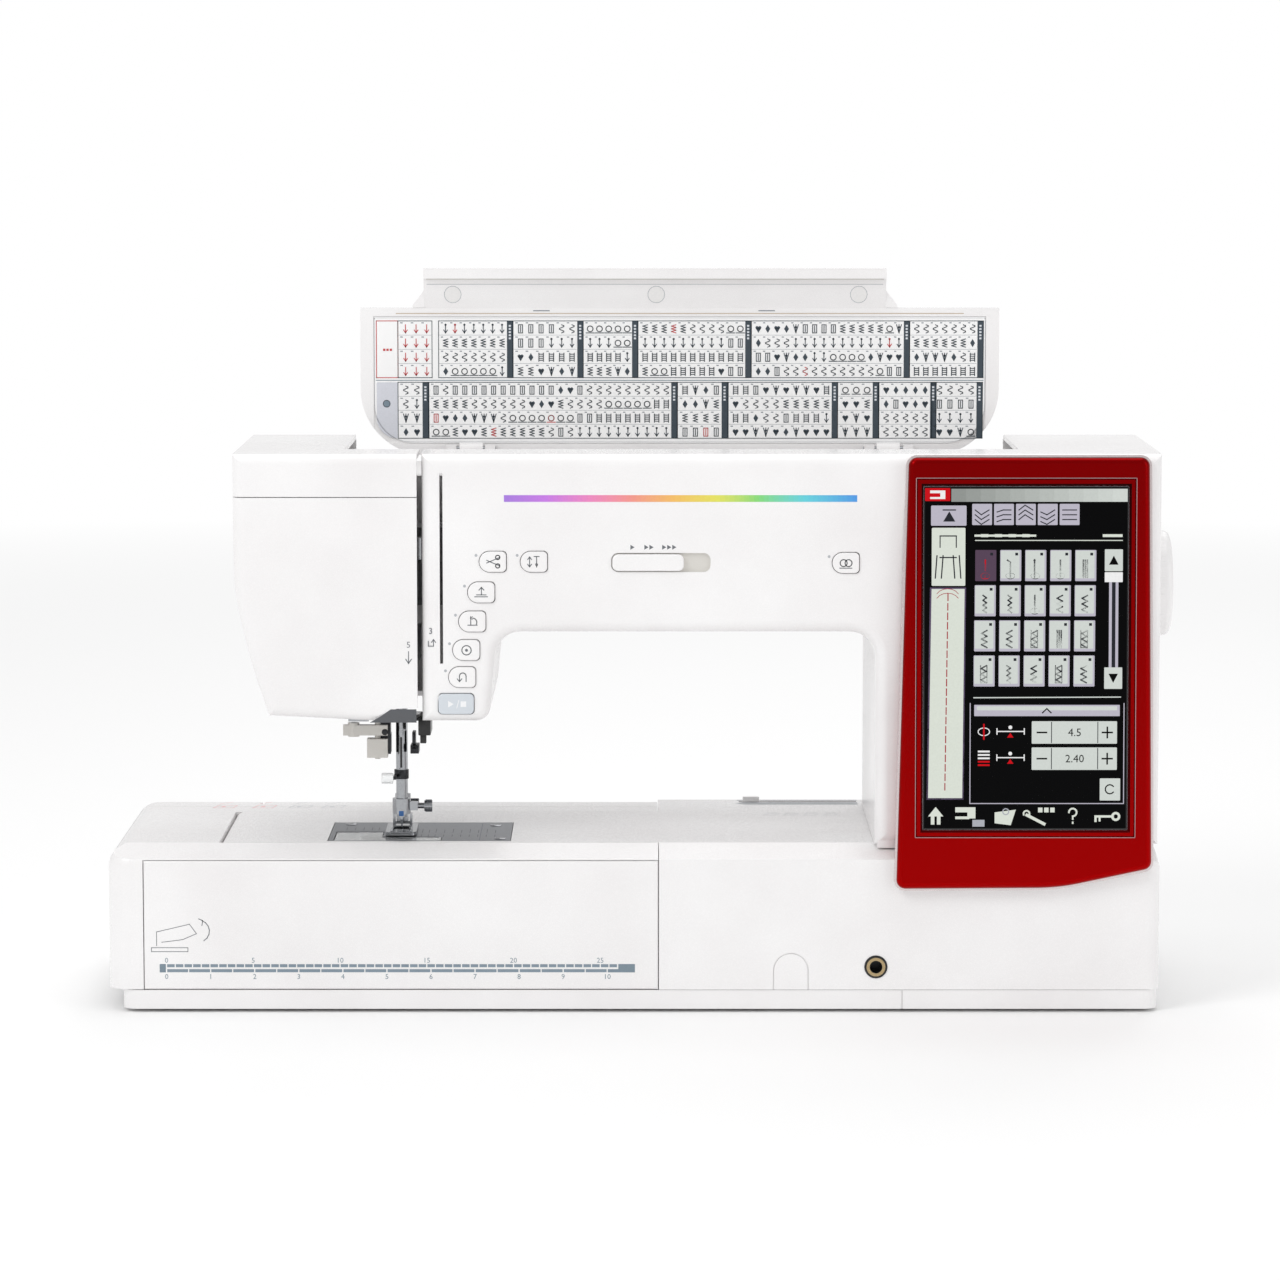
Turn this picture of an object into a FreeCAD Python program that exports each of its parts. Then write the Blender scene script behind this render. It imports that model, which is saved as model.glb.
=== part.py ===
import FreeCAD, Part
import math
import os
import re
import Sketcher

# Sewing machine with an extension table and an open lid, in millimetres.
# X runs right along the arm, Y runs to the back, Z is up from the surface it stands on.

vec = FreeCAD.Vector
document = FreeCAD.newDocument("sewingMachine")
sheet = document.addObject("Spreadsheet::Sheet", "sizes")

SIZES = {
    "wallThick": 3, "gapFit": 0.4,
    # base, bed and free arm
    "baseLeft": -301, "baseRight": 296, "baseLow": 2, "baseHigh": 13.3,
    "bedFront": -95, "bedBack": 105, "bedTop": 95, "bedEdge": 89, "bedRight": 297,
    "slopeBack": -68.3, "splitX": 8.4, "freeLeft": -246.5, "freeBack": 53, "freeUnder": 38,
    "tableLeft": -309.5, "doorLeft": -288.3,
    # head, arm and column
    "armFront": -82, "armBack": 88, "armUnder": 219, "bodyTop": 321.5, "splitY": -5,
    "headLeft": -236.4, "headUnder": 167, "slotLeft": -129.4, "slotRight": -116.6,
    "capUnder": 297.2, "columnLeft": 133, "columnRight": 297,
    # lid and deck
    "lidLeft": -171.5, "lidRight": 214.5, "lidPivotY": 79, "lidPivotZ": 313, "lidTall": 85,
    "deckFront": -38, "deckFloor": 306, "wellFloor": 276,
    # needle area
    "needleX": -142.5, "needleY": -30, "presserY": -15, "hookX": -150, "hookY": -45.5,
    # drive
    "shaftY": -5, "shaftZ": 248, "lowShaftZ": 62, "wheelX": 297.6,
}
for row, (name, value) in enumerate(SIZES.items(), 1):
    sheet.set(f"A{row}", name)
    sheet.set(f"B{row}", str(value))
    sheet.setAlias(f"B{row}", name)
document.recompute()
ALIAS = re.compile(r"\b(" + "|".join(SIZES) + r")\b")
parts = []


def cells(text):
    """Turn the bare size names in an expression into cell references."""
    return ALIAS.sub(r"sizes.\1", str(text))


def number(text):
    """The value of an expression, for the code that needs a plain number."""
    value = sheet.evalExpression(cells(text))
    return float(getattr(value, "Value", value))


def bind(item, **settings):
    for prop, text in settings.items():
        item.setExpression(prop.replace("_", "."), cells(text))
    return item


def place(item, x, y, z):
    return bind(item, Placement_Base_x=x, Placement_Base_y=y, Placement_Base_z=z)


def turned(item, axis, degrees):
    item.Placement = FreeCAD.Placement(item.Placement.Base, FreeCAD.Rotation(vec(*axis), degrees))
    return item


def box(x0, x1, y0, y1, z0, z1):
    item = document.addObject("Part::Box", "block")
    bind(item, Length=f"({x1}) - ({x0})", Width=f"({y1}) - ({y0})", Height=f"({z1}) - ({z0})")
    return place(item, x0, y0, z0)


def rod(x, y, z, radius, length, axis="z"):
    """A cylinder that starts at x, y, z and runs along +axis."""
    item = document.addObject("Part::Cylinder", "rod")
    if axis == "x":
        turned(item, (0, 1, 0), 90)
    if axis == "y":
        turned(item, (1, 0, 0), -90)
    return place(bind(item, Radius=radius, Height=length), x, y, z)


def cone(x, y, z, low, high, length, axis="z"):
    item = document.addObject("Part::Cone", "cone")
    if axis == "x":
        turned(item, (0, 1, 0), 90)
    return place(bind(item, Radius1=low, Radius2=high, Height=length), x, y, z)


def tube(x, y, z, outer, inner, length, axis="z"):
    return cut(rod(x, y, z, outer, length, axis), rod(x, y, z, inner, length, axis))


def fuse(*items):
    item = document.addObject("Part::MultiFuse", "joined")
    item.Shapes = list(items)
    item.Refine = True
    return item


def cut(base, *tools):
    for tool in tools:
        item = document.addObject("Part::Cut", "less")
        item.Base = base
        item.Tool = tool
        base = item
    return base


def common(base, tool):
    item = document.addObject("Part::Common", "shared")
    item.Base = base
    item.Tool = tool
    return item


def rounded(base, radius, chooses):
    """Round the edges of base for which chooses(middle point, direction or None) holds."""
    document.recompute([base], True)
    picked = []
    for index, edge in enumerate(base.Shape.Edges, 1):
        middle = edge.valueAt((edge.FirstParameter + edge.LastParameter) / 2)
        straight = edge.Curve.TypeId == "Part::GeomLine"
        along = edge.tangentAt(edge.FirstParameter) if straight else None
        if chooses(middle, along):
            picked.append((index, number(radius), number(radius)))
    if not picked:
        raise RuntimeError(f"{base.Name} has no such edge")
    item = document.addObject("Part::Fillet", "soft")
    item.Base = base
    item.Edges = picked
    document.recompute([item], True)
    if "Invalid" in item.State:
        raise RuntimeError(f"{item.Name} can't be rounded by {radius}: {picked}")
    return item


def upright(middle, along):
    return along is not None and abs(along.z) > 0.99


PLANES = {"XY": ("XY_Plane", 1), "XZ": ("XZ_Plane", -1), "YZ": ("YZ_Plane", 1)}


def pad(plane, points, low, high, pockets=(), body_name="moulding"):
    """A PartDesign body: a closed outline of expression pairs, padded from low to high."""
    body = document.addObject("PartDesign::Body", body_name)
    role, sign = PLANES[plane]
    origin_plane = next(o for o in body.Origin.OriginFeatures if o.Role == role)
    sketch = body.newObject("Sketcher::SketchObject", "outline")
    sketch.AttachmentSupport = [(origin_plane, "")]
    sketch.MapMode = "FlatFace"
    sketch.AttachmentOffset = FreeCAD.Placement(vec(0, 0, sign * number(low)), FreeCAD.Rotation())
    corners = [(number(a), number(b)) for a, b in points]
    for start, end in zip(corners, corners[1:] + corners[:1]):
        sketch.addGeometry(Part.LineSegment(vec(*start, 0), vec(*end, 0)), False)
    for index, (pair, corner) in enumerate(zip(points, corners)):
        sketch.addConstraint(Sketcher.Constraint("Coincident", index, 2, (index + 1) % len(points), 1))
        for kind, text, value in zip(("DistanceX", "DistanceY"), pair, corner):
            place_at = sketch.addConstraint(Sketcher.Constraint(kind, -1, 1, index, 1, value))
            sketch.setExpression(f"Constraints[{place_at}]", cells(text))
    feature = body.newObject("PartDesign::Pad", "pad")
    feature.Profile = sketch
    feature.Reversed = sign < 0
    bind(feature, Length=f"({high}) - ({low})")
    sketch.Visibility = False
    return body


def sub_part(name, item):
    item.Label = name
    parts.append(item)
    return item


def solids(items):
    """Separate solids that share one node, such as screws."""
    item = document.addObject("Part::Compound", "set")
    item.Links = list(items)
    return item


# ---- outlines of the head, arm and column, seen from the front ----

def c_outline(inset):
    """Arm and column with the right half of the head, as a closed outline with sharp corners."""
    i = inset
    left = f"slotLeft + 1.4 + {i}"
    return [(left, f"headUnder + 0.4 + {i}"), (f"-89.5 - {i}", f"headUnder + 0.4 + {i}"),
            (f"-84.5 - {i}", f"armUnder + {i}"), (f"columnLeft + {i}", f"armUnder + {i}"),
            (f"columnLeft + {i}", "bedTop + gapFit"), (f"columnRight - {i}", "bedTop + gapFit"),
            (f"columnRight - {i}", f"bodyTop - {i}"), (left, f"bodyTop - {i}")]


def soften_c(item, inset):
    """Round the corners of the arm's outline that run from front to back."""
    item = rounded(item, f"8 - {inset}", lambda p, d: near(p.x, f"-89.5 - {inset}") and p.z < 180)
    return rounded(item, f"15 + {inset}", lambda p,
                   d: d and abs(d.y) > 0.99 and near(p.z, f"armUnder + {inset}"))


def head_outline(inset):
    """The head's left half: straight above, then drawn in towards the needle."""
    i = inset
    bow = [(f"headLeft + {i} + {across}", f"bodyTop - {down}") for across, down in
           ((0.6, 76), (3.2, 92), (8.3, 114), (13.2, 131))]
    return [("-100", f"headUnder + 0.4 + {i}"), ("-100", f"bodyTop - {i}"),
            (f"headLeft + {i}", f"bodyTop - {i}"),
            (f"headLeft + {i}", "bodyTop - 50"), *bow, (f"headLeft + 20 + {i}", f"headUnder + 3.5 + {i}"),
            ("needleX - 12", f"headUnder + 0.4 + {i}")]


def near(value, target, tolerance=0.6):
    return abs(value - number(target)) < tolerance


def solid_and_room(outline):
    """The outline from the arm's front to its back, and the room inside its wall."""
    outer = pad("XZ", outline("0"), "armFront", "armBack")
    inner = pad("XZ", outline("wallThick"), "armFront + wallThick", "armBack - wallThick")
    return outer, inner


# ---- base, bed, free arm ----

def make_base():
    pan = rounded(box("baseLeft", "baseRight", "bedFront + 0.5", "bedBack", "baseLow", "baseHigh - 0.3"),
                  8, upright)
    inside = box("baseLeft + 12", "baseRight - 12", "bedFront + 12", "bedBack - 12", "baseLow + 4",
                 "baseHigh + 1")
    feet_at = [("baseLeft + 22", "bedFront + 22"), ("baseLeft + 22", "bedBack - 22"),
               ("baseRight - 26", "bedFront + 22"),
               ("baseRight - 26", "bedBack - 22"), ("-20", "bedFront + 22"), ("-20", "bedBack - 22")]
    split = box(148.3, 149, "bedFront", "bedFront + 1.3", 0, "baseHigh")
    sub_part("base_pan", cut(pan, inside, split))
    sub_part("rubber_feet", solids([cone(x, y, 0, 9, 10, "baseLow") for x, y in feet_at]))


def bed_section(inset):
    """Bed seen from the right end: upright front, gentle slope, flat top."""
    i = inset
    return [(f"bedFront + {i}", f"baseHigh - {i}"), (f"bedFront + {i}", f"bedEdge - {i}"),
            (f"slopeBack", f"bedTop - {i}"), (f"bedBack - {i}", f"bedTop - {i}"), (f"bedBack - {i}",
                    f"baseHigh - {i}")]


def make_plate_seat():
    """The sunk seat that the needle plate lies in, open over the hook and the feed dogs."""
    tray = box("-186", "-76", "-64", "12", "bedTop - 4.4", "bedTop - 1.9")
    hook_hole = rod("hookX", "hookY", "bedTop - 8", 15.6, 10)
    feed_hole = box("needleX - 9.5", "needleX + 9.5", "needleY - 2", -2, "bedTop - 8", "bedTop")
    return cut(tray, hook_hole, feed_hole)


def make_bed():
    outer = pad("YZ", bed_section("0"), "splitX", "bedRight")
    outer = rounded(outer, 7, lambda p, d: (upright(p, d) and near(p.x, "bedRight"))
                    or (d and abs(d.y) > 0.9 and near(p.x, "bedRight") and p.z > 80))
    inner = pad("YZ", bed_section("wallThick"), "splitX + wallThick", "bedRight - wallThick")
    arm = rounded(box("freeLeft", "splitX + 20", "slopeBack", "freeBack", "freeUnder", "bedTop"), 5,
                  lambda p, d: near(p.x, "freeLeft") and p.z > number("freeUnder") + 1)
    arm_inner = box("freeLeft + wallThick", "splitX + 30", "slopeBack + wallThick",
                    "freeBack - wallThick",
                    "freeUnder - 1", "bedTop - wallThick")
    plate_hole = box("-184.4", "-77.6", "-62.9", "10.4", "bedTop - 6", "bedTop + 1")
    column_hole = box("columnLeft + 12", "columnRight - 4", "armFront + 16", "armBack - 14", "bedTop - 5",
                      "bedTop + 1")
    knee_hole = rod(133.5, "bedFront - 1", 26.6, 6.7, 12, "y")
    arch = fuse(box(74.2, 94.7, "bedFront - 1", "bedFront + 0.8", "baseHigh", 24.5),
                rod(84.45, "bedFront - 1", 24.5, 10.25, 1.8, "y"))
    arch_core = fuse(box(74.8, 94.1, "bedFront - 2", "bedFront + 2", "baseHigh", 24.5),
                     rod(84.45, "bedFront - 2", 24.5, 9.65, 4, "y"))
    slide_hole = box(58, 130, 95, 99.6, "bedTop - 5", "bedTop + 1")
    cover = cut(fuse(outer, arm), fuse(inner, arm_inner), plate_hole, column_hole, knee_hole,
                cut(arch, arch_core), slide_hole)
    floor = box("freeLeft + 1", "splitX + 1", "slopeBack + 1", "freeBack - 1", "freeUnder",
                "freeUnder + 2.5")
    sub_part("bed_cover", cut(fuse(cover, floor, make_plate_seat()), screen_block()))
    knee = cut(rod(133.5, "bedFront - 0.6", 26.6, 6.4, 20, "y"),
               rod(133.5, "bedFront - 2", 26.6, 3.5, 18, "y"))
    sub_part("knee_lifter_socket", knee)


def make_table():
    """A U that slips round the free arm from the left, hollow, open at the front for the accessory box."""
    block = box("tableLeft", "splitX - gapFit", "bedFront", "bedBack", "baseHigh + 0.2", "bedTop")
    block = rounded(block, 14, lambda p, d: near(p.x, "tableLeft") and upright(p, d))
    block = rounded(block, 11, lambda p, d: near(p.x, "tableLeft", 18) and p.z > number("bedTop") - 1
                    and not (d and abs(d.x) > 0.9))
    wedge = pad("YZ", [("bedFront - 1", "bedEdge - 0.3"), ("bedFront", "bedEdge"),
                       ("slopeBack", "bedTop"),
                       ("slopeBack", "bedTop + 5"), ("bedFront - 1",
                                                     "bedTop + 5")], "tableLeft - 5", "splitX + 5")
    slot = box("freeLeft - gapFit", "splitX + 5", "slopeBack - gapFit", "freeBack + gapFit", 0,
               "bedTop + 5")
    front_room = box("doorLeft + 1", "splitX - 4", "bedFront - 1", "slopeBack - 3.4", "baseHigh + 4",
                     "bedEdge - 3")
    end_room = box("tableLeft + wallThick", "freeLeft - 3.4", "slopeBack + 1", "bedBack - 12",
                   "baseHigh - 5", "bedTop - wallThick")
    rear_room = box("freeLeft + 3", "splitX - 4", "freeBack + 3.4", "bedBack - wallThick", "baseHigh - 5",
                    "bedTop - wallThick")
    door_seat = box("doorLeft - gapFit", "splitX + 1", "bedFront - 1", "bedFront + 3 + gapFit",
                    "baseHigh - 1", "bedEdge - 0.4")
    crease = box("tableLeft", "splitX", 75, 75.6, "bedTop - 0.8", "bedTop + 1")
    notch = box(-234, -232, 86, 106, "bedTop - 4", "bedTop + 1")
    frame = cut(block, wedge, slot, front_room, end_room, rear_room, door_seat, crease, notch)
    sub_part("table_frame", frame)
    door = box("doorLeft", "splitX - gapFit", "bedFront", "bedFront + 3", "baseHigh + 0.2",
               "bedEdge - 0.8")
    sub_part("table_door", rounded(door, 1.2, lambda p, d: near(p.y, "bedFront")))


# ---- head, arm, column ----

def make_covers():
    recess = box("lidLeft - 3", "lidRight + 3", "deckFront", "armBack + 5", "deckFloor - 3",
                 "bodyTop + 5")
    def front_edge(p, d):
        return near(p.y, "armFront")

    def back_edge(p, d):
        return near(p.y, "armBack")

    arm_outer, arm_inner = solid_and_room(c_outline)
    arm_outer, arm_inner = soften_c(arm_outer, "0"), soften_c(arm_inner, "wallThick")
    head_outer, head_inner = solid_and_room(head_outline)
    arm_front = common(arm_outer, box(-150, 320, -200, "splitY - 0.3", 0, 400))
    arm_front = rounded(arm_front, 7, front_edge)
    thread_slot = box("slotRight - 0.9", "slotRight + 0.9", "armFront - 5", "armFront + 30", 201, 311)
    buttons = [key_shape(x, z, wide, "gapFit", "armFront - 5", "armFront + 7") for x, z,
               wide in BUTTONS.values()]
    speed = rounded(box(-19, 38, "armFront - 5", "armFront + 5", 254, 265), 4, lambda p,
                    d: d and abs(d.y) > 0.9)
    lamp = box(-32.5, 48.5, -60, -36, "armUnder - 2", "armUnder + 5")
    screen_back = box(160, 276, "armFront - 5", "armFront + 10", 115, 300)
    wheel_hole = rod("columnRight - 8", "shaftY", "shaftZ", 14, 20, "x")
    front = cut(arm_front, arm_inner, recess, thread_slot, *buttons, speed, lamp, screen_back,
                screen_block(),
                wheel_hole)
    sub_part("front_cover", front)

    behind = ("splitY", 200, 0, 400)
    arm_rear = rounded(common(arm_outer, box(-400, 400, *behind)), 7, back_edge)
    head_rear = rounded(common(head_outer, box(-400, -101, *behind)), 7,
                        lambda p, d: near(p.y, "armBack") and p.x < -102)
    whole_rear = fuse(arm_rear, head_rear)
    inlet_hole = box("columnRight - 8", "columnRight + 5", 30, 58, 120, 142)
    switch_hole = box("columnRight - 8", "columnRight + 5", 32, 56, 152, 168)
    needle_hole = box("needleX - 30", -95, "splitY - 20", 40, 150, "headUnder + 12")
    rear = cut(whole_rear, fuse(arm_inner, head_inner), recess, wheel_hole, inlet_hole, switch_hole,
               needle_hole)
    sub_part("rear_cover", rear)

    head_front = common(head_outer, box(-400, "slotLeft - 1.2", -200, "splitY - 0.3", 0, 400))
    head_front = rounded(head_front, 6, lambda p,
                         d: near(p.y, "armFront") and p.x < number("slotLeft") - 3)
    door_zone = box(-400, 0, -200, 200, 0, "capUnder - 0.5")
    notch = pad("XZ", [("-156", "headUnder - 5"), ("-144.7", "headUnder + 7.8"),
                       ("-120", "headUnder + 9"),
                       ("-120", "headUnder - 5")], "armFront - 5", "splitY + 5")
    threader_hole = box(-160, -150, -43, -33, "headUnder - 2", "headUnder + 8")
    door = cut(common(head_front, door_zone), head_inner, notch, threader_hole)
    sub_part("face_cover", door)
    cap = cut(common(head_front, box(-400, 0, -200, 200, "capUnder", 400)), head_inner, recess)
    sub_part("head_cap", cap)


BUTTONS = {  # middle x and z, and the width, on the arm's front
    "button_cutter": (-87, 260, 15.4), "button_needle": (-63.4, 260, 15.4), "button_lift": (-93.7, 242.3,
            15.4),
    "button_pivot": (-98.9, 225.5, 15.4), "button_lock": (-102.4, 209, 15.4), "button_reverse": (-104.8,
            193.3, 15.4),
    "button_start_stop": (-108.3, 177.8, 20.4), "button_tie": (115.6, 259.3, 15.4),
}


def key_shape(x, z, wide, extra, front, back):
    """A key that is round on its left and nearly square on its right, or rounded all over if it is wide."""
    half, tall = f"{wide / 2} + {extra}", f"5.9 + {extra}"
    square_from = f"{x} - {wide / 2} + 5.9" if wide < 20 else f"{x} - ({half})"
    block = box(square_from, f"{x} + {half}", front, back, f"{z} - ({tall})", f"{z} + {tall}")
    right = number(f"{x} + {half}")
    block = rounded(block, 2.6, lambda p, d: d and abs(d.y) > 0.9 and (wide > 20 or near(p.x, right)))
    if wide > 20:
        return block
    return fuse(block, rod(square_from, front, z, tall, f"({back}) - ({front})", "y"))


def make_buttons():
    for name, (x, z, wide) in BUTTONS.items():
        key = key_shape(x, z, wide, "0", "armFront - 1.6", "armFront + 7.4")
        sub_part(name, rounded(key, 0.8, lambda p, d: near(p.y, "armFront - 1.6")))
    knob = box(-18.4, 22.7, "armFront - 2.2", "armFront + 4", 254.7, 264.3)
    knob = rounded(knob, 3.4, lambda p, d: d and abs(d.y) > 0.9)
    sub_part("speed_knob", rounded(knob, 1, lambda p, d: near(p.y, "armFront - 2.2")))


# ---- lid and deck ----

def make_lid():
    """The lid stands open: its inside faces front, its pivot is along the lower edge."""
    board = box("lidLeft", "lidRight", "lidPivotY + 4", "lidPivotY + 12", "lidPivotZ - 4",
                "lidPivotZ + lidTall")
    board = rounded(board, 40, lambda p, d: d and abs(d.y) > 0.9 and p.z < number("lidPivotZ"))
    hollow = box("lidLeft + 2.5", "lidRight - 2.5", "lidPivotY + 6.5", "lidPivotY + 9.5",
                 "lidPivotZ + 24",
                 "lidPivotZ + lidTall - 3")
    seat = box("lidLeft + 8", "lidRight - 8", "lidPivotY + 3", "lidPivotY + 4.9", "lidPivotZ + 3",
               "lidPivotZ + lidTall - 5")
    lip = pad("YZ", [("lidPivotY + 5", "lidPivotZ + lidTall - 1"),
                     ("lidPivotY + 12", "lidPivotZ + lidTall - 1"),
                     ("lidPivotY + 6", "lidPivotZ + 109"), ("lidPivotY - 4", "lidPivotZ + 109"),
                     ("lidPivotY - 4", "lidPivotZ + 103"), ("lidPivotY", "lidPivotZ + 103")], -133, 146)
    ears = fuse(rod("lidLeft + 60", "lidPivotY", "lidPivotZ", 3.6, 14, "x"),
                rod("lidRight - 74", "lidPivotY", "lidPivotZ", 3.6, 14, "x"),
                box("lidLeft + 60", "lidLeft + 74", "lidPivotY", "lidPivotY + 6", "lidPivotZ - 3.6",
                    "lidPivotZ + 2.6"),
                box("lidRight - 74", "lidRight - 60", "lidPivotY", "lidPivotY + 6", "lidPivotZ - 3.6",
                    "lidPivotZ + 2.6"))
    bore = rod("lidLeft + 40", "lidPivotY", "lidPivotZ", 1.55, 320, "x")
    sub_part("lid", cut(fuse(cut(board, hollow, seat), lip, ears), bore))
    chart = box("lidLeft + 8.3", "lidRight - 8.3", "lidPivotY + 4.1", "lidPivotY + 4.8",
                "lidPivotZ + 3.3",
                "lidPivotZ + lidTall - 5.3")
    sub_part("stitch_chart",
             rounded(chart, 24, lambda p, d: d and abs(d.y) > 0.9 and p.z < number("lidPivotZ + 10")))
    sub_part("lid_hinge_pins", solids([rod("lidLeft + 52", "lidPivotY", "lidPivotZ", 1.5, 30, "x"),
                                       rod("lidRight - 82", "lidPivotY", "lidPivotZ", 1.5, 30, "x")]))


def make_deck():
    rim = box("lidLeft - 2.6", "lidRight + 2.6", "deckFront + gapFit", "lidPivotY - 4.5",
              "deckFloor - 2.6", "deckFloor")
    well = rounded(box(-72, 148, "deckFront + 8", "lidPivotY - 14", "wellFloor", "deckFloor"), 8, upright)
    inside = rounded(box(-69.5, 145.5, "deckFront + 10.5", "lidPivotY - 16.5", "wellFloor + 2.5",
                         "deckFloor + 5"), 6, upright)
    lugs = [box(x, f"{x} + 6", "lidPivotY - 6", "lidPivotY + 2.6", "deckFloor - 2", "lidPivotZ + 2.6")
            for x in ("lidLeft + 52", "lidLeft + 75.5", "lidRight - 81.5", "lidRight - 58")]
    bore = rod("lidLeft + 40", "lidPivotY", "lidPivotZ", 1.5, 320, "x")
    opening = box("-69.5", "145.5", "deckFront + 10.5", "lidPivotY - 16.5", "deckFloor - 4",
                  "deckFloor + 2")
    winder_hole = rod(186, 20, "deckFloor - 5", 4.2, 12)
    sub_part("top_deck", cut(fuse(cut(fuse(rim, well), inside, opening), *lugs), bore, winder_hole))
    pin = fuse(rod(20, 15, "wellFloor + 16", 2.6, 112, "x"),
               box(126, 134, 8, 22, "wellFloor + 2.6", "wellFloor + 24"),
               cone(26, 15, "wellFloor + 16", 4, 11, 5, "x"))
    sub_part("spool_pin", pin)
    spindle = fuse(rod(186, 20, "deckFloor - 24", 4, 26), rod(186, 20, "deckFloor + 1", 3, 5),
                   rod(186, 20, "deckFloor - 30", 13, 7))
    sub_part("winder_spindle", spindle)
    sub_part("winder_stop", rounded(box(201.5, 207, 12, 28, "deckFloor + 0.1", "deckFloor + 5.5"), 2,
                                    upright))
    guides = [fuse(rod(x, y, "deckFloor", 2.4, 4), rod(x, y, "deckFloor + 4", 4.4, 1.6))
              for x, y in ((-95, 22), (-118, 8))]
    sub_part("thread_guides", solids(guides))


# ---- screen ----

SCREEN_TALL = 248


def tilt(item):
    """Lean a piece of the screen back about the bed's front edge."""
    leaned = document.addObject("Part::Compound", "leaned")
    leaned.Links = [item]
    leaned.Placement = FreeCAD.Placement(vec(0, -104.5, 73), FreeCAD.Rotation(vec(1, 0, 0), -3))
    return leaned


def screen_frame(depth):
    """The screen's outline, with a lower edge that rises to the right."""
    tall = str(SCREEN_TALL)
    outline = [("144.5", "0.4"), ("238", "1"), ("291", "12.2"), ("288.8", tall), ("151", tall)]
    frame = pad("XZ", outline, 0, depth)
    frame = rounded(frame, 120, lambda p, d: d and abs(d.y) > 0.99 and near(p.x, 238))
    return rounded(frame, 5, lambda p, d: d and abs(d.y) > 0.99 and (p.x > 285 or p.x < 155))


def screen_block():
    """The room that the screen's frame takes out of the covers behind it."""
    return tilt(screen_frame(21.2))


def make_screen():
    """The screen leans back a little; its frame is modelled upright at y 0..25 and then leaned."""
    frame = screen_frame(21)
    window = box(158.2, 278.3, -5, 6, 33, 233)
    room = box(156, 281, 3, 30, 28, 236)
    bezel = cut(rounded(frame, 3.5, lambda p, d: near(p.y, 0, 0.2)), window, room)
    sub_part("screen_bezel", tilt(bezel))
    sub_part("screen_glass", tilt(box(156.5, 280.5, 3.4, 5.2, 29, 235.5)))
    sub_part("control_board", tilt(box(158, 279, 9, 12, 35, 230)))


# ---- needle area ----

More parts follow.
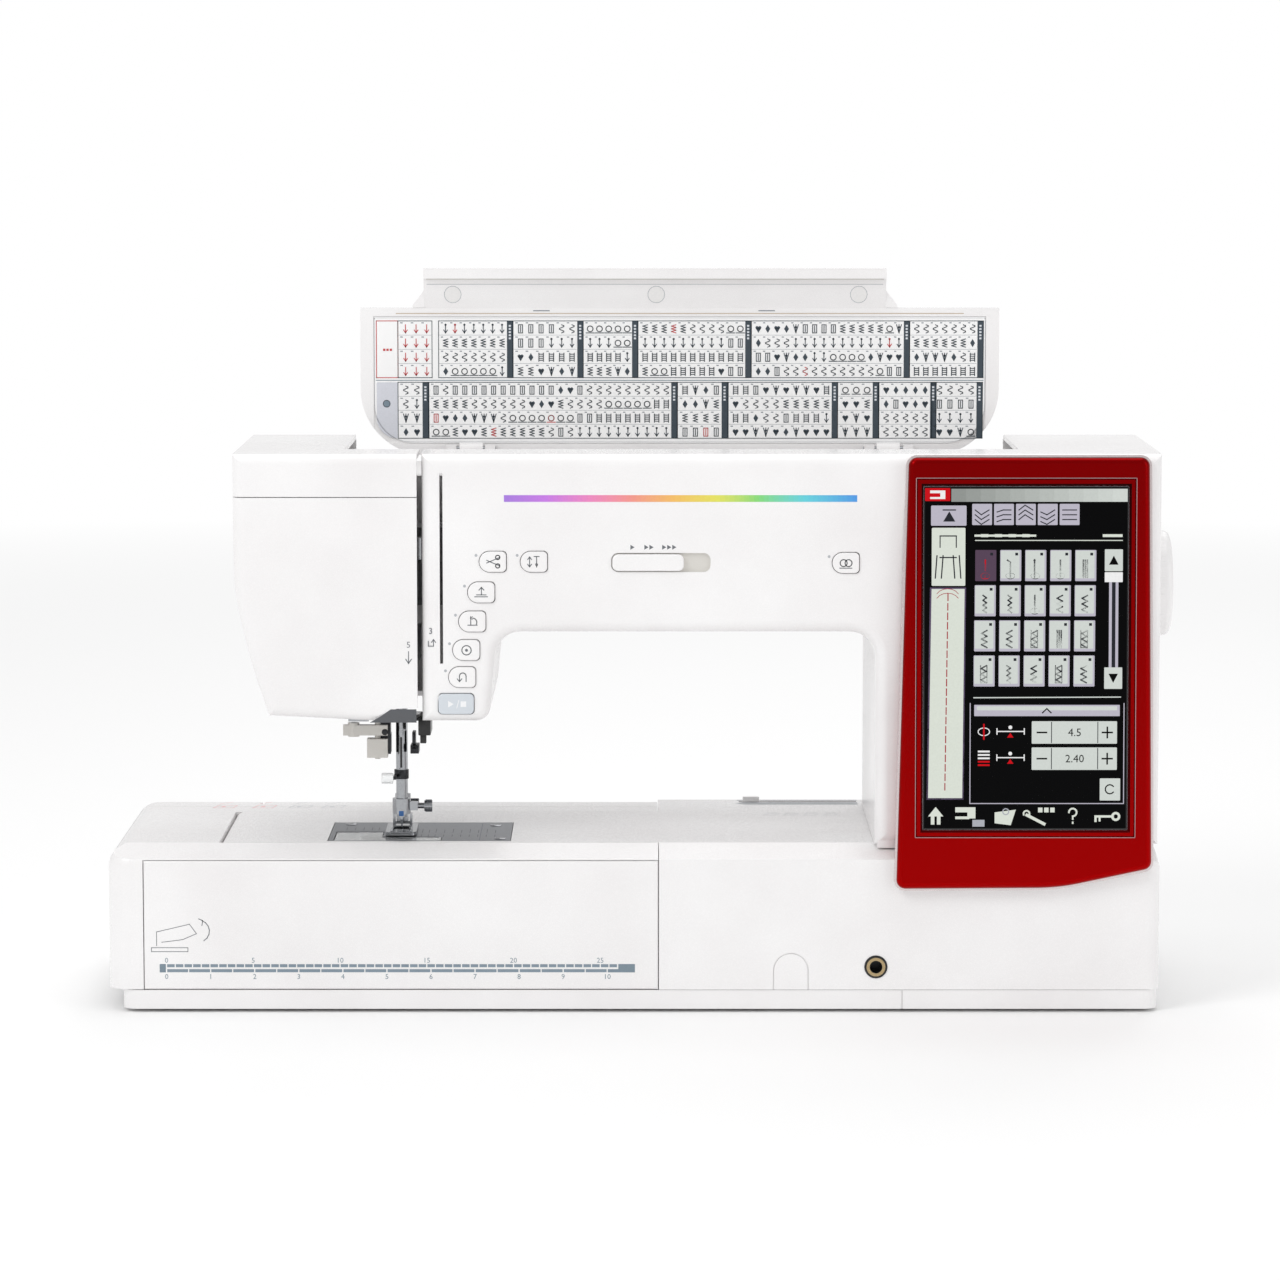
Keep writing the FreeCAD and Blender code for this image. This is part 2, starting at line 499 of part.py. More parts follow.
def make_needle_area():
    x, y = "needleX", "needleY"
    plate = box(-184, -78, -62.5, 10, "bedTop - 1.8", "bedTop")
    bobbin_window = fuse(box(-181, -118, -60.5, -46.6, "bedTop - 3", "bedTop + 1"),
                         box(-181, -152.8, -60.5, -27, "bedTop - 3", "bedTop + 1"))
    stitch_slot = box(f"{x} - 4.7", f"{x} + 4.7", f"{y} - 1", f"{y} + 1", "bedTop - 3", "bedTop + 1")
    feed_slots = [box(f"{x} + {dx} - 1.3", f"{x} + {dx} + 1.3", -27, -4, "bedTop - 3",
                      "bedTop + 1") for dx in (-7, 0, 7)]
    sub_part("needle_plate", cut(plate, bobbin_window, stitch_slot, *feed_slots))
    sheet = fuse(box(-180.5, -118.5, -60, -47.1, "bedTop - 1.8", "bedTop - 0.2"),
                 box(-180.5, -153.3, -60, -27.5, "bedTop - 1.8", "bedTop - 0.2"))
    sub_part("bobbin_cover", sheet)
    rack = [box(f"{x} + {dx} - 1", f"{x} + {dx} + 1", -25.5, -5.5, "bedTop - 5", "bedTop - 0.4")
            for dx in (-7, 0, 7)]
    rack.append(box(f"{x} - 8", f"{x} + 8", -25.5, -5.5, "bedTop - 8", "bedTop - 5"))
    sub_part("feed_dogs", fuse(*rack))
    cup = cut(rod("hookX", "hookY", 72, 14.8, 19), rod("hookX", "hookY", 75, 12.9, 20))
    sub_part("rotary_hook", fuse(cup, rod("hookX", "hookY", 60, 5, 12)))
    sub_part("bobbin_holder", tube("hookX", "hookY", 75.6, 12.4, 11, 15))
    sub_part("bobbin", cut(fuse(rod("hookX", "hookY", 77, 10.3, 1), rod("hookX", "hookY", 87.6, 10.3, 1),
                                rod("hookX", "hookY", 77.5, 8, 10.5)), rod("hookX", "hookY", 76, 3, 14)))
    bar = rod(x, y, 104.5, 3.2, 166)
    sub_part("needle_bar", bar)
    clamp = fuse(cut(rod(x, y, 106.5, 5.4, 9), rod(x, y, 106, 3.2, 12)),
                 box("needleX + 4", "needleX + 9.5", -32, -28, 108.5, 113.5))
    sub_part("needle_clamp", clamp)
    screw = fuse(rod("needleX + 9.5", y, 111, 1.6, 5, "x"), rod("needleX + 13.4", y, 111, 3.3, 4.6, "x"))
    sub_part("clamp_screw", screw)
    sub_part("needle", fuse(cone(x, y, 80, 0.25, 0.55, 5), rod(x, y, 85, 0.55, 15),
                            cone(x, y, 100, 0.55, 1.0, 3),
                            rod(x, y, 103, 1, 1.5)))
    sub_part("presser_bar", rod(x, "presserY", 108, 3, 160))
    ankle = cut(fuse(rod(x, "presserY", 106, 4.6, 10), box("needleX - 3.5", "needleX + 3.5", -21, -12,
                                                           100.4, 108)),
                rod(x, "presserY", 108, 3, 20))
    sub_part("foot_ankle", ankle)
    sole = cut(rounded(box("needleX - 9", "needleX + 9", -46, -8, "bedTop + 0.7", "bedTop + 2.7"), 3,
                       upright),
               box("needleX - 4.9", "needleX + 4.9", -34, -26, "bedTop", "bedTop + 5"))
    lugs = [box(f"{x} + {dx} - 0.8", f"{x} + {dx} + 0.8", -20, -13, "bedTop + 2",
                "bedTop + 9.5") for dx in (-4.9, 4.9)]
    cross = rod(f"{x} - 4.9", -16.5, "bedTop + 4.1", 0.8, 9.8, "x")
    sub_part("presser_foot", fuse(sole, *lugs, cross))
    lever = fuse(rod(-118, 24, 178, 6, 5, "y"), box(-118, -100, 24.5, 28.5, 174, 180),
                 box(-106, -98, 18, 34, 166, 180))
    sub_part("presser_lever", lever)
    threader = fuse(rod(-156, -38, 140, 1.6, 26.2), box(-162, -150, -42.5, -34, 141, 152),
                    box(-176, -150, -41, -36, 154, 160),
                    rod(-170, -38, 153.2, 3.4, 8))
    sub_part("needle_threader", threader)
    lever_arm = fuse(rod(-132.2, -20, 262, 5, 3.4, "x"), box(-132.2, -128.8, -62, -20, 259.5, 264.5),
                     box(-132.2, -128.8, -64, -58, 259.5, 272))
    sub_part("take_up_lever", lever_arm)
    discs = fuse(*[rod(x0, -52, 282, 9, 1.4, "x") for x0 in (-111, -108.6)],
                 rod(-114, -52, 282, 2.2, 16, "x"),
                 box(-106, -98, -62, -42, 270, 294))
    sub_part("tension_unit", discs)


# ---- frame and drive ----

def make_frame():
    arm = box(-205, 285, 4, 40, 226, 272)
    column = box(152, 285, -30, 60, 16, 272)
    bed = box(40, 285, -50, 60, 16, 80)
    free = box(-120, 45, -44, 44, 44, 86)
    head = box(-205, -175, -42, 40, 190, 290)
    bars = box(-180, -132, -42, 5, 196, 215)
    floor = box(40, 285, -60, 70, 11, 17)
    body = fuse(arm, column, bed, free, head, bars)
    bores = [rod("needleX", "needleY", 180, 3.25, 130), rod("needleX", "presserY", 180, 3.05, 130),
             rod(-156, -38, 180, 1.7, 50)]
    shaft_tunnel = rod(-125, "shaftY", "shaftZ", 9, 460, "x")
    low_tunnel = rod(-125, "shaftY", "lowShaftZ", 9, 460, "x")
    motor_room = box(180, 280, -32, 30, 90, 190)
    belt_room = box(286, 300, -60, 60, 20, 300)
    saved = fuse(box(155, 176, -25, 55, 90, 215), box(160, 275, -40, 50, 24, 72),
                 box(-100, 130, 12, 32, 232, 266))
    sub_part("main_casting", cut(body, *bores, shaft_tunnel, low_tunnel, motor_room, belt_room, saved,
                                 floor))
    upper_pulley = rod(286.5, "shaftY", "shaftZ", 14, 6, "x")
    sub_part("upper_shaft", fuse(rod(-100, "shaftY", "shaftZ", 5, 394, "x"), upper_pulley))
    lower_pulley = rod(286.5, "shaftY", "lowShaftZ", 14, 6, "x")
    sub_part("lower_shaft", fuse(rod(-80, "shaftY", "lowShaftZ", 5, 372.5, "x"), lower_pulley))
    wheel = fuse(rod("wheelX", "shaftY", "shaftZ - 8", 31, 11.5, "x"),
                 rod("columnRight - 3", "shaftY", "shaftZ", 12, 6, "x"))
    wheel = rounded(wheel, 4, lambda p, d: near(p.x, "wheelX + 11.5"))
    sub_part("handwheel", wheel)
    loop = cut(fuse(rod(287, "shaftY", "shaftZ", 16.4, 5, "x"),
                    rod(287, "shaftY", "lowShaftZ", 16.4, 5, "x"),
                    box(287, 292, "shaftY - 16.4", "shaftY + 16.4", "lowShaftZ", "shaftZ")),
               fuse(rod(280, "shaftY", "shaftZ", 14.5, 20, "x"),
                    rod(280, "shaftY", "lowShaftZ", 14.5, 20, "x"),
                    box(280, 300, "shaftY - 14.5", "shaftY + 14.5", "lowShaftZ", "shaftZ")))
    sub_part("timing_belt", loop)
    sub_part("motor", fuse(rod(190, 5, 140, 24, 66, "x"), rod(180, 5, 140, 8, 10, "x")))
    sub_part("motor_pulley", rod(256.6, 5, 140, 6, 10, "x"))
    sub_part("power_unit", box(155, 270, 64, 84, 110, 205))
    inlet = cut(box("columnRight - 11", "columnRight - 0.3", 30.5, 57.5, 120.5, 141.5),
                box("columnRight - 9", "columnRight + 1", 33, 55, 123, 139))
    sub_part("power_inlet", inlet)
    rocker = rounded(box("columnRight - 7", "columnRight + 0.6", 33.5, 54.5, 153.5, 166.5), 1, lambda p,
                     d: near(p.x, "columnRight + 0.6"))
    sub_part("power_switch", rocker)
    sub_part("arm_lamp", box(-32, 48, -59.6, -36.4, "armUnder - 1", "armUnder + 3.5"))
    slider = fuse(box(60, 71, 96, 98.6, "bedTop - 6", "bedTop + 0.2"),
                  box(60.5, 70.5, 95.4, 99.2, "bedTop + 0.2", "bedTop + 3"))
    sub_part("feed_slider", slider)
    spots = [(x, z) for x in (-180, 20, 240) for z in (240, 290)] + [(280, 130), (160, 130)]
    sub_part("case_screws", solids([rod(x, "armBack - 2", z, 3.4, 1.9, "y") for x, z in spots]))


def check_and_write():
    document.recompute()
    for item in document.Objects:
        if "Invalid" in item.State or "Error" in item.State:
            raise RuntimeError(f"{item.Name} {item.Label} did not rebuild: {item.State}")
    os.makedirs("parts", exist_ok=True)
    for item in parts:
        shape = item.Shape
        if shape.isNull() or not shape.isValid() or not shape.Solids:
            raise RuntimeError(f"{item.Label} has no valid solid")
        shape.exportStep(f"parts/{item.Label}.step")
        print(f"{item.Label}: {len(shape.Solids)} solid(s), {shape.Volume / 1000:.1f} cm3")
    print(len(parts), "parts")


make_base()
make_bed()
make_table()
make_covers()
make_buttons()
make_lid()
make_deck()
make_screen()
make_needle_area()
make_frame()
check_and_write()
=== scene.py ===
import bpy
import bmesh
import math
import random
from mathutils import Matrix, Vector


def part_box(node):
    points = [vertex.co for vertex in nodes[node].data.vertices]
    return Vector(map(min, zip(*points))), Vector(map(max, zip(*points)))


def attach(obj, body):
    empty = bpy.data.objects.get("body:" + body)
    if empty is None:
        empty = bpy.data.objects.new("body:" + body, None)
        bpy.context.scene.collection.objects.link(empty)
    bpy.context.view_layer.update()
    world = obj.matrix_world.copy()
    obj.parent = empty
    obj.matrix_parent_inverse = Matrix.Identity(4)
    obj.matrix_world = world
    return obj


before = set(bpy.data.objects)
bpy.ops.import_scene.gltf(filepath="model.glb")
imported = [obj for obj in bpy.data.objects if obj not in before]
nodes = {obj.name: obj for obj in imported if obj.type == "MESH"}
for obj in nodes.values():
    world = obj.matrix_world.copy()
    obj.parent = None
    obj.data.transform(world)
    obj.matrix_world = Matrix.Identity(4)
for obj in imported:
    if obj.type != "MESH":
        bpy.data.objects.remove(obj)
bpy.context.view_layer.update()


mm = 0.001
print("frame loaded:", len(nodes), "nodes")


# colours and nodes

def linear(hexCode, alpha=1.0):
    # sRGB hex to the linear values that the shader takes
    values = [int(hexCode[i:i + 2], 16) / 255 for i in (0, 2, 4)]
    return tuple(v / 12.92 if v <= 0.04045 else ((v + 0.055) / 1.055) ** 2.4 for v in values) + (alpha,)


def addNode(tree, kind, settings=None, links=None):
    node = tree.nodes.new(kind)
    for key, value in (settings or {}).items():
        if isinstance(key, int) or key in node.inputs:
            node.inputs[key].default_value = value
        else:
            setattr(node, key, value)
    for key, source in (links or {}).items():
        tree.links.new(source, node.inputs[key])
    return node


def newMaterial(name, shader):
    # a material with its shader's fixed values set, ready for patterns
    made = bpy.data.materials.new(name)
    made.use_nodes = True
    tree = made.node_tree
    tree.nodes.clear()
    surface = addNode(tree, "ShaderNodeBsdfPrincipled", shader)
    addNode(tree, "ShaderNodeOutputMaterial", links={"Surface": surface.outputs[0]})
    place = addNode(tree, "ShaderNodeTexCoord").outputs["Object"]
    return made, tree, surface, place


def ramp(tree, source, stops):
    node = addNode(tree, "ShaderNodeValToRGB", links={"Fac": source})
    while len(node.color_ramp.elements) < len(stops):
        node.color_ramp.elements.new(0.5)
    for element, (at, colour) in zip(node.color_ramp.elements, stops):
        element.position, element.color = at, colour
    return node.outputs["Color"]


def grey(value):
    return (value, value, value, 1.0)


def moulded(name, hexLow, hexHigh, gloss, grain=0.35, texture=0.012, ior=1.54, extra=None):
    # Injection-moulded ABS: even colour with faint flow clouds, fine spark-eroded skin, soft highlights
    made, tree, surface, place = newMaterial(name, {"IOR": ior, **(extra or {})})
    clouds = addNode(tree, "ShaderNodeTexNoise", {"Scale": 14.0, "Detail": 3.0}, {"Vector": place})
    colour = ramp(tree, clouds.outputs["Fac"], [(0.3, linear(hexLow)), (0.7, linear(hexHigh))])
    tree.links.new(colour, surface.inputs["Base Color"])
    skin = addNode(tree, "ShaderNodeTexNoise", {"Scale": 1 / (grain * mm), "Detail": 2.0},
                   {"Vector": place})
    rough = ramp(tree, skin.outputs["Fac"], [(0.3, grey(gloss - 0.03)), (0.7, grey(gloss + 0.04))])
    tree.links.new(rough, surface.inputs["Roughness"])
    bump = addNode(tree, "ShaderNodeBump", {"Strength": 0.12, "Distance": texture * mm},
                   {"Height": skin.outputs["Fac"]})
    tree.links.new(bump.outputs["Normal"], surface.inputs["Normal"])
    return made


def metal(name, hexLow, hexHigh, gloss, stretch=(1, 1, 1), grain=0.25, depth=0.01, extra=None):
    # Worked metal: fine lines or polish marks vary the gloss; stretch draws them out along one axis
    made, tree, surface, place = newMaterial(name, {"Metallic": 1.0, **(extra or {})})
    drawn = addNode(tree, "ShaderNodeMapping", {"Scale": stretch}, {"Vector": place})
    marks = addNode(tree, "ShaderNodeTexNoise", {"Scale": 1 / (grain * mm), "Detail": 4.0},
                    {"Vector": drawn.outputs["Vector"]})
    colour = ramp(tree, marks.outputs["Fac"], [(0.25, linear(hexLow)), (0.75, linear(hexHigh))])
    tree.links.new(colour, surface.inputs["Base Color"])
    rough = ramp(tree, marks.outputs["Fac"], [(0.25, grey(max(gloss - 0.06, 0.02))),
                                              (0.75, grey(gloss + 0.07))])
    tree.links.new(rough, surface.inputs["Roughness"])
    bump = addNode(tree, "ShaderNodeBump", {"Strength": 0.1, "Distance": depth * mm},
                   {"Height": marks.outputs["Fac"]})
    tree.links.new(bump.outputs["Normal"], surface.inputs["Normal"])
    return made


def inked(name, gloss, glow=0.0):
    # Printed or lit colour that follows the piece's own colour attribute
    made, tree, surface, place = newMaterial(name, {"IOR": 1.5, "Emission Strength": glow,
                                                    "Specular IOR Level": 0.06 if glow else 0.5})
    ink = addNode(tree, "ShaderNodeAttribute", {"attribute_name": "ink"}).outputs["Color"]
    fibre = addNode(tree, "ShaderNodeTexNoise", {"Scale": 900.0, "Detail": 2.0}, {"Vector": place})
    shade = ramp(tree, fibre.outputs["Fac"], [(0.2, grey(0.93)), (0.8, grey(1.0))])
    mixed = addNode(tree, "ShaderNodeMix", {"data_type": "RGBA", "blend_type": "MULTIPLY", 0: 1.0},
                    {6: ink, 7: shade})
    unlit = addNode(tree, "ShaderNodeMix", {"data_type": "RGBA", "blend_type": "MULTIPLY", 0: 1.0,
                                            7: grey(0.06)},
                    {6: mixed.outputs[2]})
    tree.links.new((unlit if glow else mixed).outputs[2], surface.inputs["Base Color"])
    if glow:
        tree.links.new(mixed.outputs[2], surface.inputs["Emission Color"])
    rough = ramp(tree, fibre.outputs["Fac"], [(0.2, grey(gloss)), (0.8, grey(gloss + 0.08))])
    tree.links.new(rough, surface.inputs["Roughness"])
    return made


def lacquer(name, low, mid, high):
    # Candy lacquer over metallic flake, with painted light: the colour is brighter low down and deeper red
    # higher up, set by height
    made, tree, surface, place = newMaterial(name, {
        "Metallic": 1.0, "Coat Weight": 0.05, "Coat Roughness": 0.04, "Coat IOR": 1.4})
    flakes = addNode(tree, "ShaderNodeTexVoronoi", {"Scale": 1 / (0.3 * mm)}, {"Vector": place})
    apart = addNode(tree, "ShaderNodeSeparateXYZ", links={0: place})
    # painted light: height picks the colour, bright red low down and deep red above
    paintedLightHeight = addNode(tree, "ShaderNodeMapRange", {"From Min": 0.07, "From Max": 0.32},
                     {"Value": apart.outputs["Z"]})
    mixed = addNode(tree, "ShaderNodeMath", {"operation": "MULTIPLY_ADD", 1: 0.12},
                    {0: flakes.outputs["Distance"], 2: paintedLightHeight.outputs[0]})
    colour = ramp(tree, mixed.outputs[0], [(0.05, linear(low)), (0.5, linear(mid)), (1.0, linear(high))])
    tree.links.new(colour, surface.inputs["Base Color"])
    rough = ramp(tree, flakes.outputs["Distance"], [(0.0, grey(0.26)), (0.7, grey(0.4))])
    tree.links.new(rough, surface.inputs["Roughness"])
    bump = addNode(tree, "ShaderNodeBump", {"Strength": 0.1, "Distance": 0.02 * mm},
                   {"Height": flakes.outputs["Distance"]})
    tree.links.new(bump.outputs["Normal"], surface.inputs["Normal"])
    return made


def clear(name, hexTint, gloss, passing=0.92, ior=1.5):
    # Clear moulded polycarbonate with faint flow lines
    made, tree, surface, place = newMaterial(name, {"Transmission Weight": passing, "IOR": ior})
    lines = addNode(tree, "ShaderNodeTexNoise", {"Scale": 60.0, "Detail": 2.0}, {"Vector": place})
    colour = ramp(tree, lines.outputs["Fac"], [(0.3, linear(hexTint)), (0.7, linear("FFFFFF"))])
    tree.links.new(colour, surface.inputs["Base Color"])
    rough = ramp(tree, lines.outputs["Fac"], [(0.3, grey(gloss)), (0.7, grey(gloss + 0.05))])
    tree.links.new(rough, surface.inputs["Roughness"])
    return made


mat = {
    "white": moulded("glossWhiteAbs", "F1EFEF", "F8F7F7", 0.26),
    "whiteSatin": moulded("satinWhiteAbs", "ECEAEA", "F3F2F1", 0.42, grain=0.5, texture=0.03),
    "warmGrey": moulded("warmGreyAbs", "D2CFC9", "DCD9D3", 0.4, grain=0.5, texture=0.03),
    "keyBlue": moulded("greyBlueKeyAbs", "CBD2DA", "D6DCE2", 0.35),
    "darkGrey": moulded("darkGreyAbs", "55575B", "64666A", 0.4, grain=0.5, texture=0.04),
    "black": moulded("blackAbs", "0A0A0B", "151516", 0.3, texture=0.02),
    "rubber": moulded("greyRubber", "303032", "3B3B3D", 0.72, grain=0.8, texture=0.06, ior=1.52),
    "steel": metal("nickelPlatedSteel", "7A7C80", "C4C6C9", 0.13),
    "plate": metal("brushedPlateSteel", "5C5E64", "7C7E84", 0.32, stretch=(0.05, 1, 1), grain=0.3),
    "machined": metal("groundSteel", "8D8F92", "B5B7B9", 0.34, stretch=(1, 1, 0.06), grain=0.4),
    "darkSteel": metal("blackedSteel", "2A2B2D", "48494C", 0.3),
    "alloy": metal("castAluminium", "9A9B9D", "B5B6B8", 0.5, grain=0.9, depth=0.1),
    "bead": metal("rosePlatedBead", "CDBDBD", "EFE4E4", 0.2),
    # the red frame's lacquer has painted light, brighter low down and darker above
    "red": lacquer("candyRedLacquerOnFlake", "A60203", "9A0203", "880204"),
    # a darker copy of the red lacquer for the window bevel, as painted shade
    "redDeep": lacquer("candyRedInBevel", "4A0204", "3C0204", "2C0203"),
    "glass": moulded("blackDisplayGlass", "040405", "08080A", 0.06, texture=0.001, ior=1.52),
    "clear": clear("clearPolycarbonate", "EEF2F3", 0.05),
    "lens": clear("frostedLampLens", "F4F4F0", 0.35, 0.7),
    "sheet": moulded("printedSheetBase", "F8F8F8", "FDFDFD", 0.45, grain=0.3, texture=0.01),
    "ink": inked("screenPrintedInk", 0.45),
    "pixels": inked("litDisplayPixels", 0.25, 0.82),
    "brass": metal("brassRing", "A8926A", "C4B08A", 0.3),
    "blueMark": moulded("blueMarkPlastic", "2B5E9C", "356BAA", 0.35),
    "rulerInk": moulded("slatePrint", "7D8E9A", "8595A0", 0.5, grain=0.3, texture=0.005),
}

finishes = {
    "white": ["bed_cover", "table_frame", "table_door", "front_cover", "rear_cover", "face_cover",
              "head_cap", "lid", "base_pan", "handwheel", "speed_knob", "button_cutter",
              "button_needle", "button_lift", "button_pivot", "button_lock", "button_reverse",
              "button_tie"],
    "whiteSatin": ["top_deck", "feed_slider", "presser_lever"],
    "warmGrey": ["needle_threader", "spool_pin"],
    "keyBlue": ["button_start_stop"],
    "rubber": ["rubber_feet", "timing_belt"],
    "black": ["knee_lifter_socket", "power_inlet", "power_switch", "control_board", "winder_spindle",
              "winder_stop", "motor", "motor_pulley", "bobbin_holder"],
    "steel": ["lid_hinge_pins", "needle_bar", "needle_clamp", "clamp_screw", "needle", "presser_bar",
              "foot_ankle", "presser_foot", "case_screws", "take_up_lever", "thread_guides"],
    "plate": ["needle_plate"],
    "machined": ["feed_dogs", "tension_unit", "upper_shaft", "lower_shaft", "rotary_hook", "power_unit"],
    "alloy": ["main_casting"],
    "red": ["screen_bezel"],
    "glass": ["screen_glass"],
    "clear": ["bobbin_cover", "bobbin"],
    "lens": ["arm_lamp"],
    "sheet": ["stitch_chart"],
}
for finish, names in finishes.items():
    for name in names:
        nodes[name].data.materials.clear()
        nodes[name].data.materials.append(mat[finish])
print("finishes on", sum(len(names) for names in finishes.values()), "nodes")


# meshes: everything below is drawn in millimetres and turned to metres once

def finish(name, verts, faces, material, body, inkOf=None, smoothAngle=None, bevel=0.0, levels=2):
    # make the piece, bevel it, and let it ride on its body
    mesh = bpy.data.meshes.new(name)
    mesh.from_pydata([Vector(v) * mm for v in verts], [], faces)
    if inkOf:
        ink = mesh.attributes.new("ink", "FLOAT_COLOR", "CORNER")
        colours = [c for face, colour in zip(faces, inkOf) for c in colour * len(face)]
        ink.data.foreach_set("color", colours)
    piece = bpy.data.objects.new(name, mesh)
    bpy.context.scene.collection.objects.link(piece)
    mesh.materials.append(mat[material])
    if bevel:
        edge = piece.modifiers.new("edge", "BEVEL")
        edge.width, edge.segments, edge.limit_method = bevel * mm, levels, "ANGLE"
        edge.angle_limit = math.radians(35)
        applyModifiers(piece)
    shadeSmooth(piece, smoothAngle)
    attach(piece, body)
    return piece


def shadeSmooth(piece, angle):
    # smooth shading, with edges sharper than the angle left crisp
    if angle:
        for face in piece.data.polygons:
            face.use_smooth = True
        piece.data.set_sharp_from_angle(angle=math.radians(angle))


def applyModifiers(piece):
    # swap the mesh for its evaluated copy and drop the modifiers
    bpy.context.view_layer.update()
    done = bpy.data.meshes.new_from_object(piece.evaluated_get(bpy.context.evaluated_depsgraph_get()))
    piece.modifiers.clear()
    piece.data = done


def boxSolid(low, high):
    (x0, y0, z0), (x1, y1, z1) = low, high
    verts = [(x, y, z) for z in (z0, z1) for y in (y0, y1) for x in (x0, x1)]
    faces = [(0, 2, 3, 1), (4, 5, 7, 6), (0, 1, 5, 4), (2, 6, 7, 3), (0, 4, 6, 2), (1, 3, 7, 5)]
    return verts, faces


def roundSolid(centre, axis, profile, sides=32):
    # turn a profile of (distance along the axis, radius) pairs about an axis; ends are capped
    along = Vector(axis).normalized()
    side = along.orthogonal().normalized()
    up = along.cross(side)
    verts = []
    for far, radius in profile:
        for i in range(sides):
            turn = 2 * math.pi * i / sides
            outward = side * math.cos(turn) + up * math.sin(turn)
            verts.append(Vector(centre) + along * far + outward * radius)
    faces = []
    for ring in range(len(profile) - 1):
        for i in range(sides):
            a, b = ring * sides + i, ring * sides + (i + 1) % sides
            faces.append((a, b, b + sides, a + sides))
    faces.append(tuple(reversed(range(sides))))
    last = (len(profile) - 1) * sides
    faces.append(tuple(range(last, last + sides)))
    return verts, faces


def prism(outline, low, high, toWorld):
    # an outline drawn anticlockwise in u, v, raised from low to high; toWorld(u, v, w) places it
    count = len(outline)
    area = sum(a[0] * b[1] - b[0] * a[1] for a, b in zip(outline, outline[1:] + outline[:1]))
    points = outline if area > 0 else outline[::-1]
    verts = [toWorld(u, v, w) for w in (low, high) for u, v in points]
    faces = [tuple(reversed(range(count))), tuple(range(count, 2 * count))]
    faces += [(i, (i + 1) % count, (i + 1) % count + count, i + count) for i in range(count)]
    return verts, faces


def join(*solids):
    verts, faces = [], []
    for some, polygons in solids:
        start = len(verts)
        verts += list(some)
        faces += [tuple(i + start for i in face) for face in polygons]
    return verts, faces


def roundedOutline(x0, y0, x1, y1, radius, steps=5):
    # a rectangle with rounded corners; radius is one value or one for each corner from the lower left round
    radii = radius if isinstance(radius, (list, tuple)) else [radius] * 4
    middles = [(x0, y0, 1, 1, 180), (x1, y0, -1, 1, 270), (x1, y1, -1, -1, 0), (x0, y1, 1, -1, 90)]
    points = []
    for (x, y, right, up, start), r in zip(middles, radii):
        if r <= 0:
            points.append((x, y))
            continue
        for i in range(steps + 1):
            turn = math.radians(start + 90 * i / steps)
            points.append((x + right * r + r * math.cos(turn), y + up * r + r * math.sin(turn)))
    return points


def frontAt(y):
    # a place on an upright face that looks to the front, at y
    return lambda u, v, w: (u, y - w, v)


def topAt(z):
    return lambda u, v, w: (u, v, z + w)


# prints: flat marks with their own colour, each a very thin closed solid

inks = {name: linear(code) for name, code in {
    "slate": "3A4650", "grey": "8C939A", "pale": "DDE2E8", "white": "F7F8FA", "black": "1B1D20",
    "red": "C8484A", "pink": "E3A3A3", "ruler": "7D8E9A", "mark": "6F7378", "faint": "B9BCC0",
    # the lip grey is painted shade on the lid lip's downward band; the tan marks the gap under the lip,
    # tinted as its painted shadow
    "lipGrey": "DAD8D3", "lipDimple": "F3F2F1", "tan": "C9B9A6", "inset": "5A5C60", "strip": "A9ACB0",
    # the UI silver also paints the window bevel's inner highlight line, and the rose tone below paints its
    # outer highlight line
    "corner": "DADCE4", "uiBlack": "020203", "uiTile": "DFE5E0", "uiSilver": "B9BCC4",
    "uiDark": "2A2C33", "uiPick": "5E4A5E", "uiRed": "D8101C", "uiShade": "C9C5D3",
    "uiEdge": "6A5C78", "uiRust": "B02838", "uiRose": "B98A8C", "uiPaper": "E9EFE4",
    "uiWhite": "FFFFFF"}.items()}
layer = 0.03        # each print layer's thickness in millimetres, more than ink so that layers stay apart


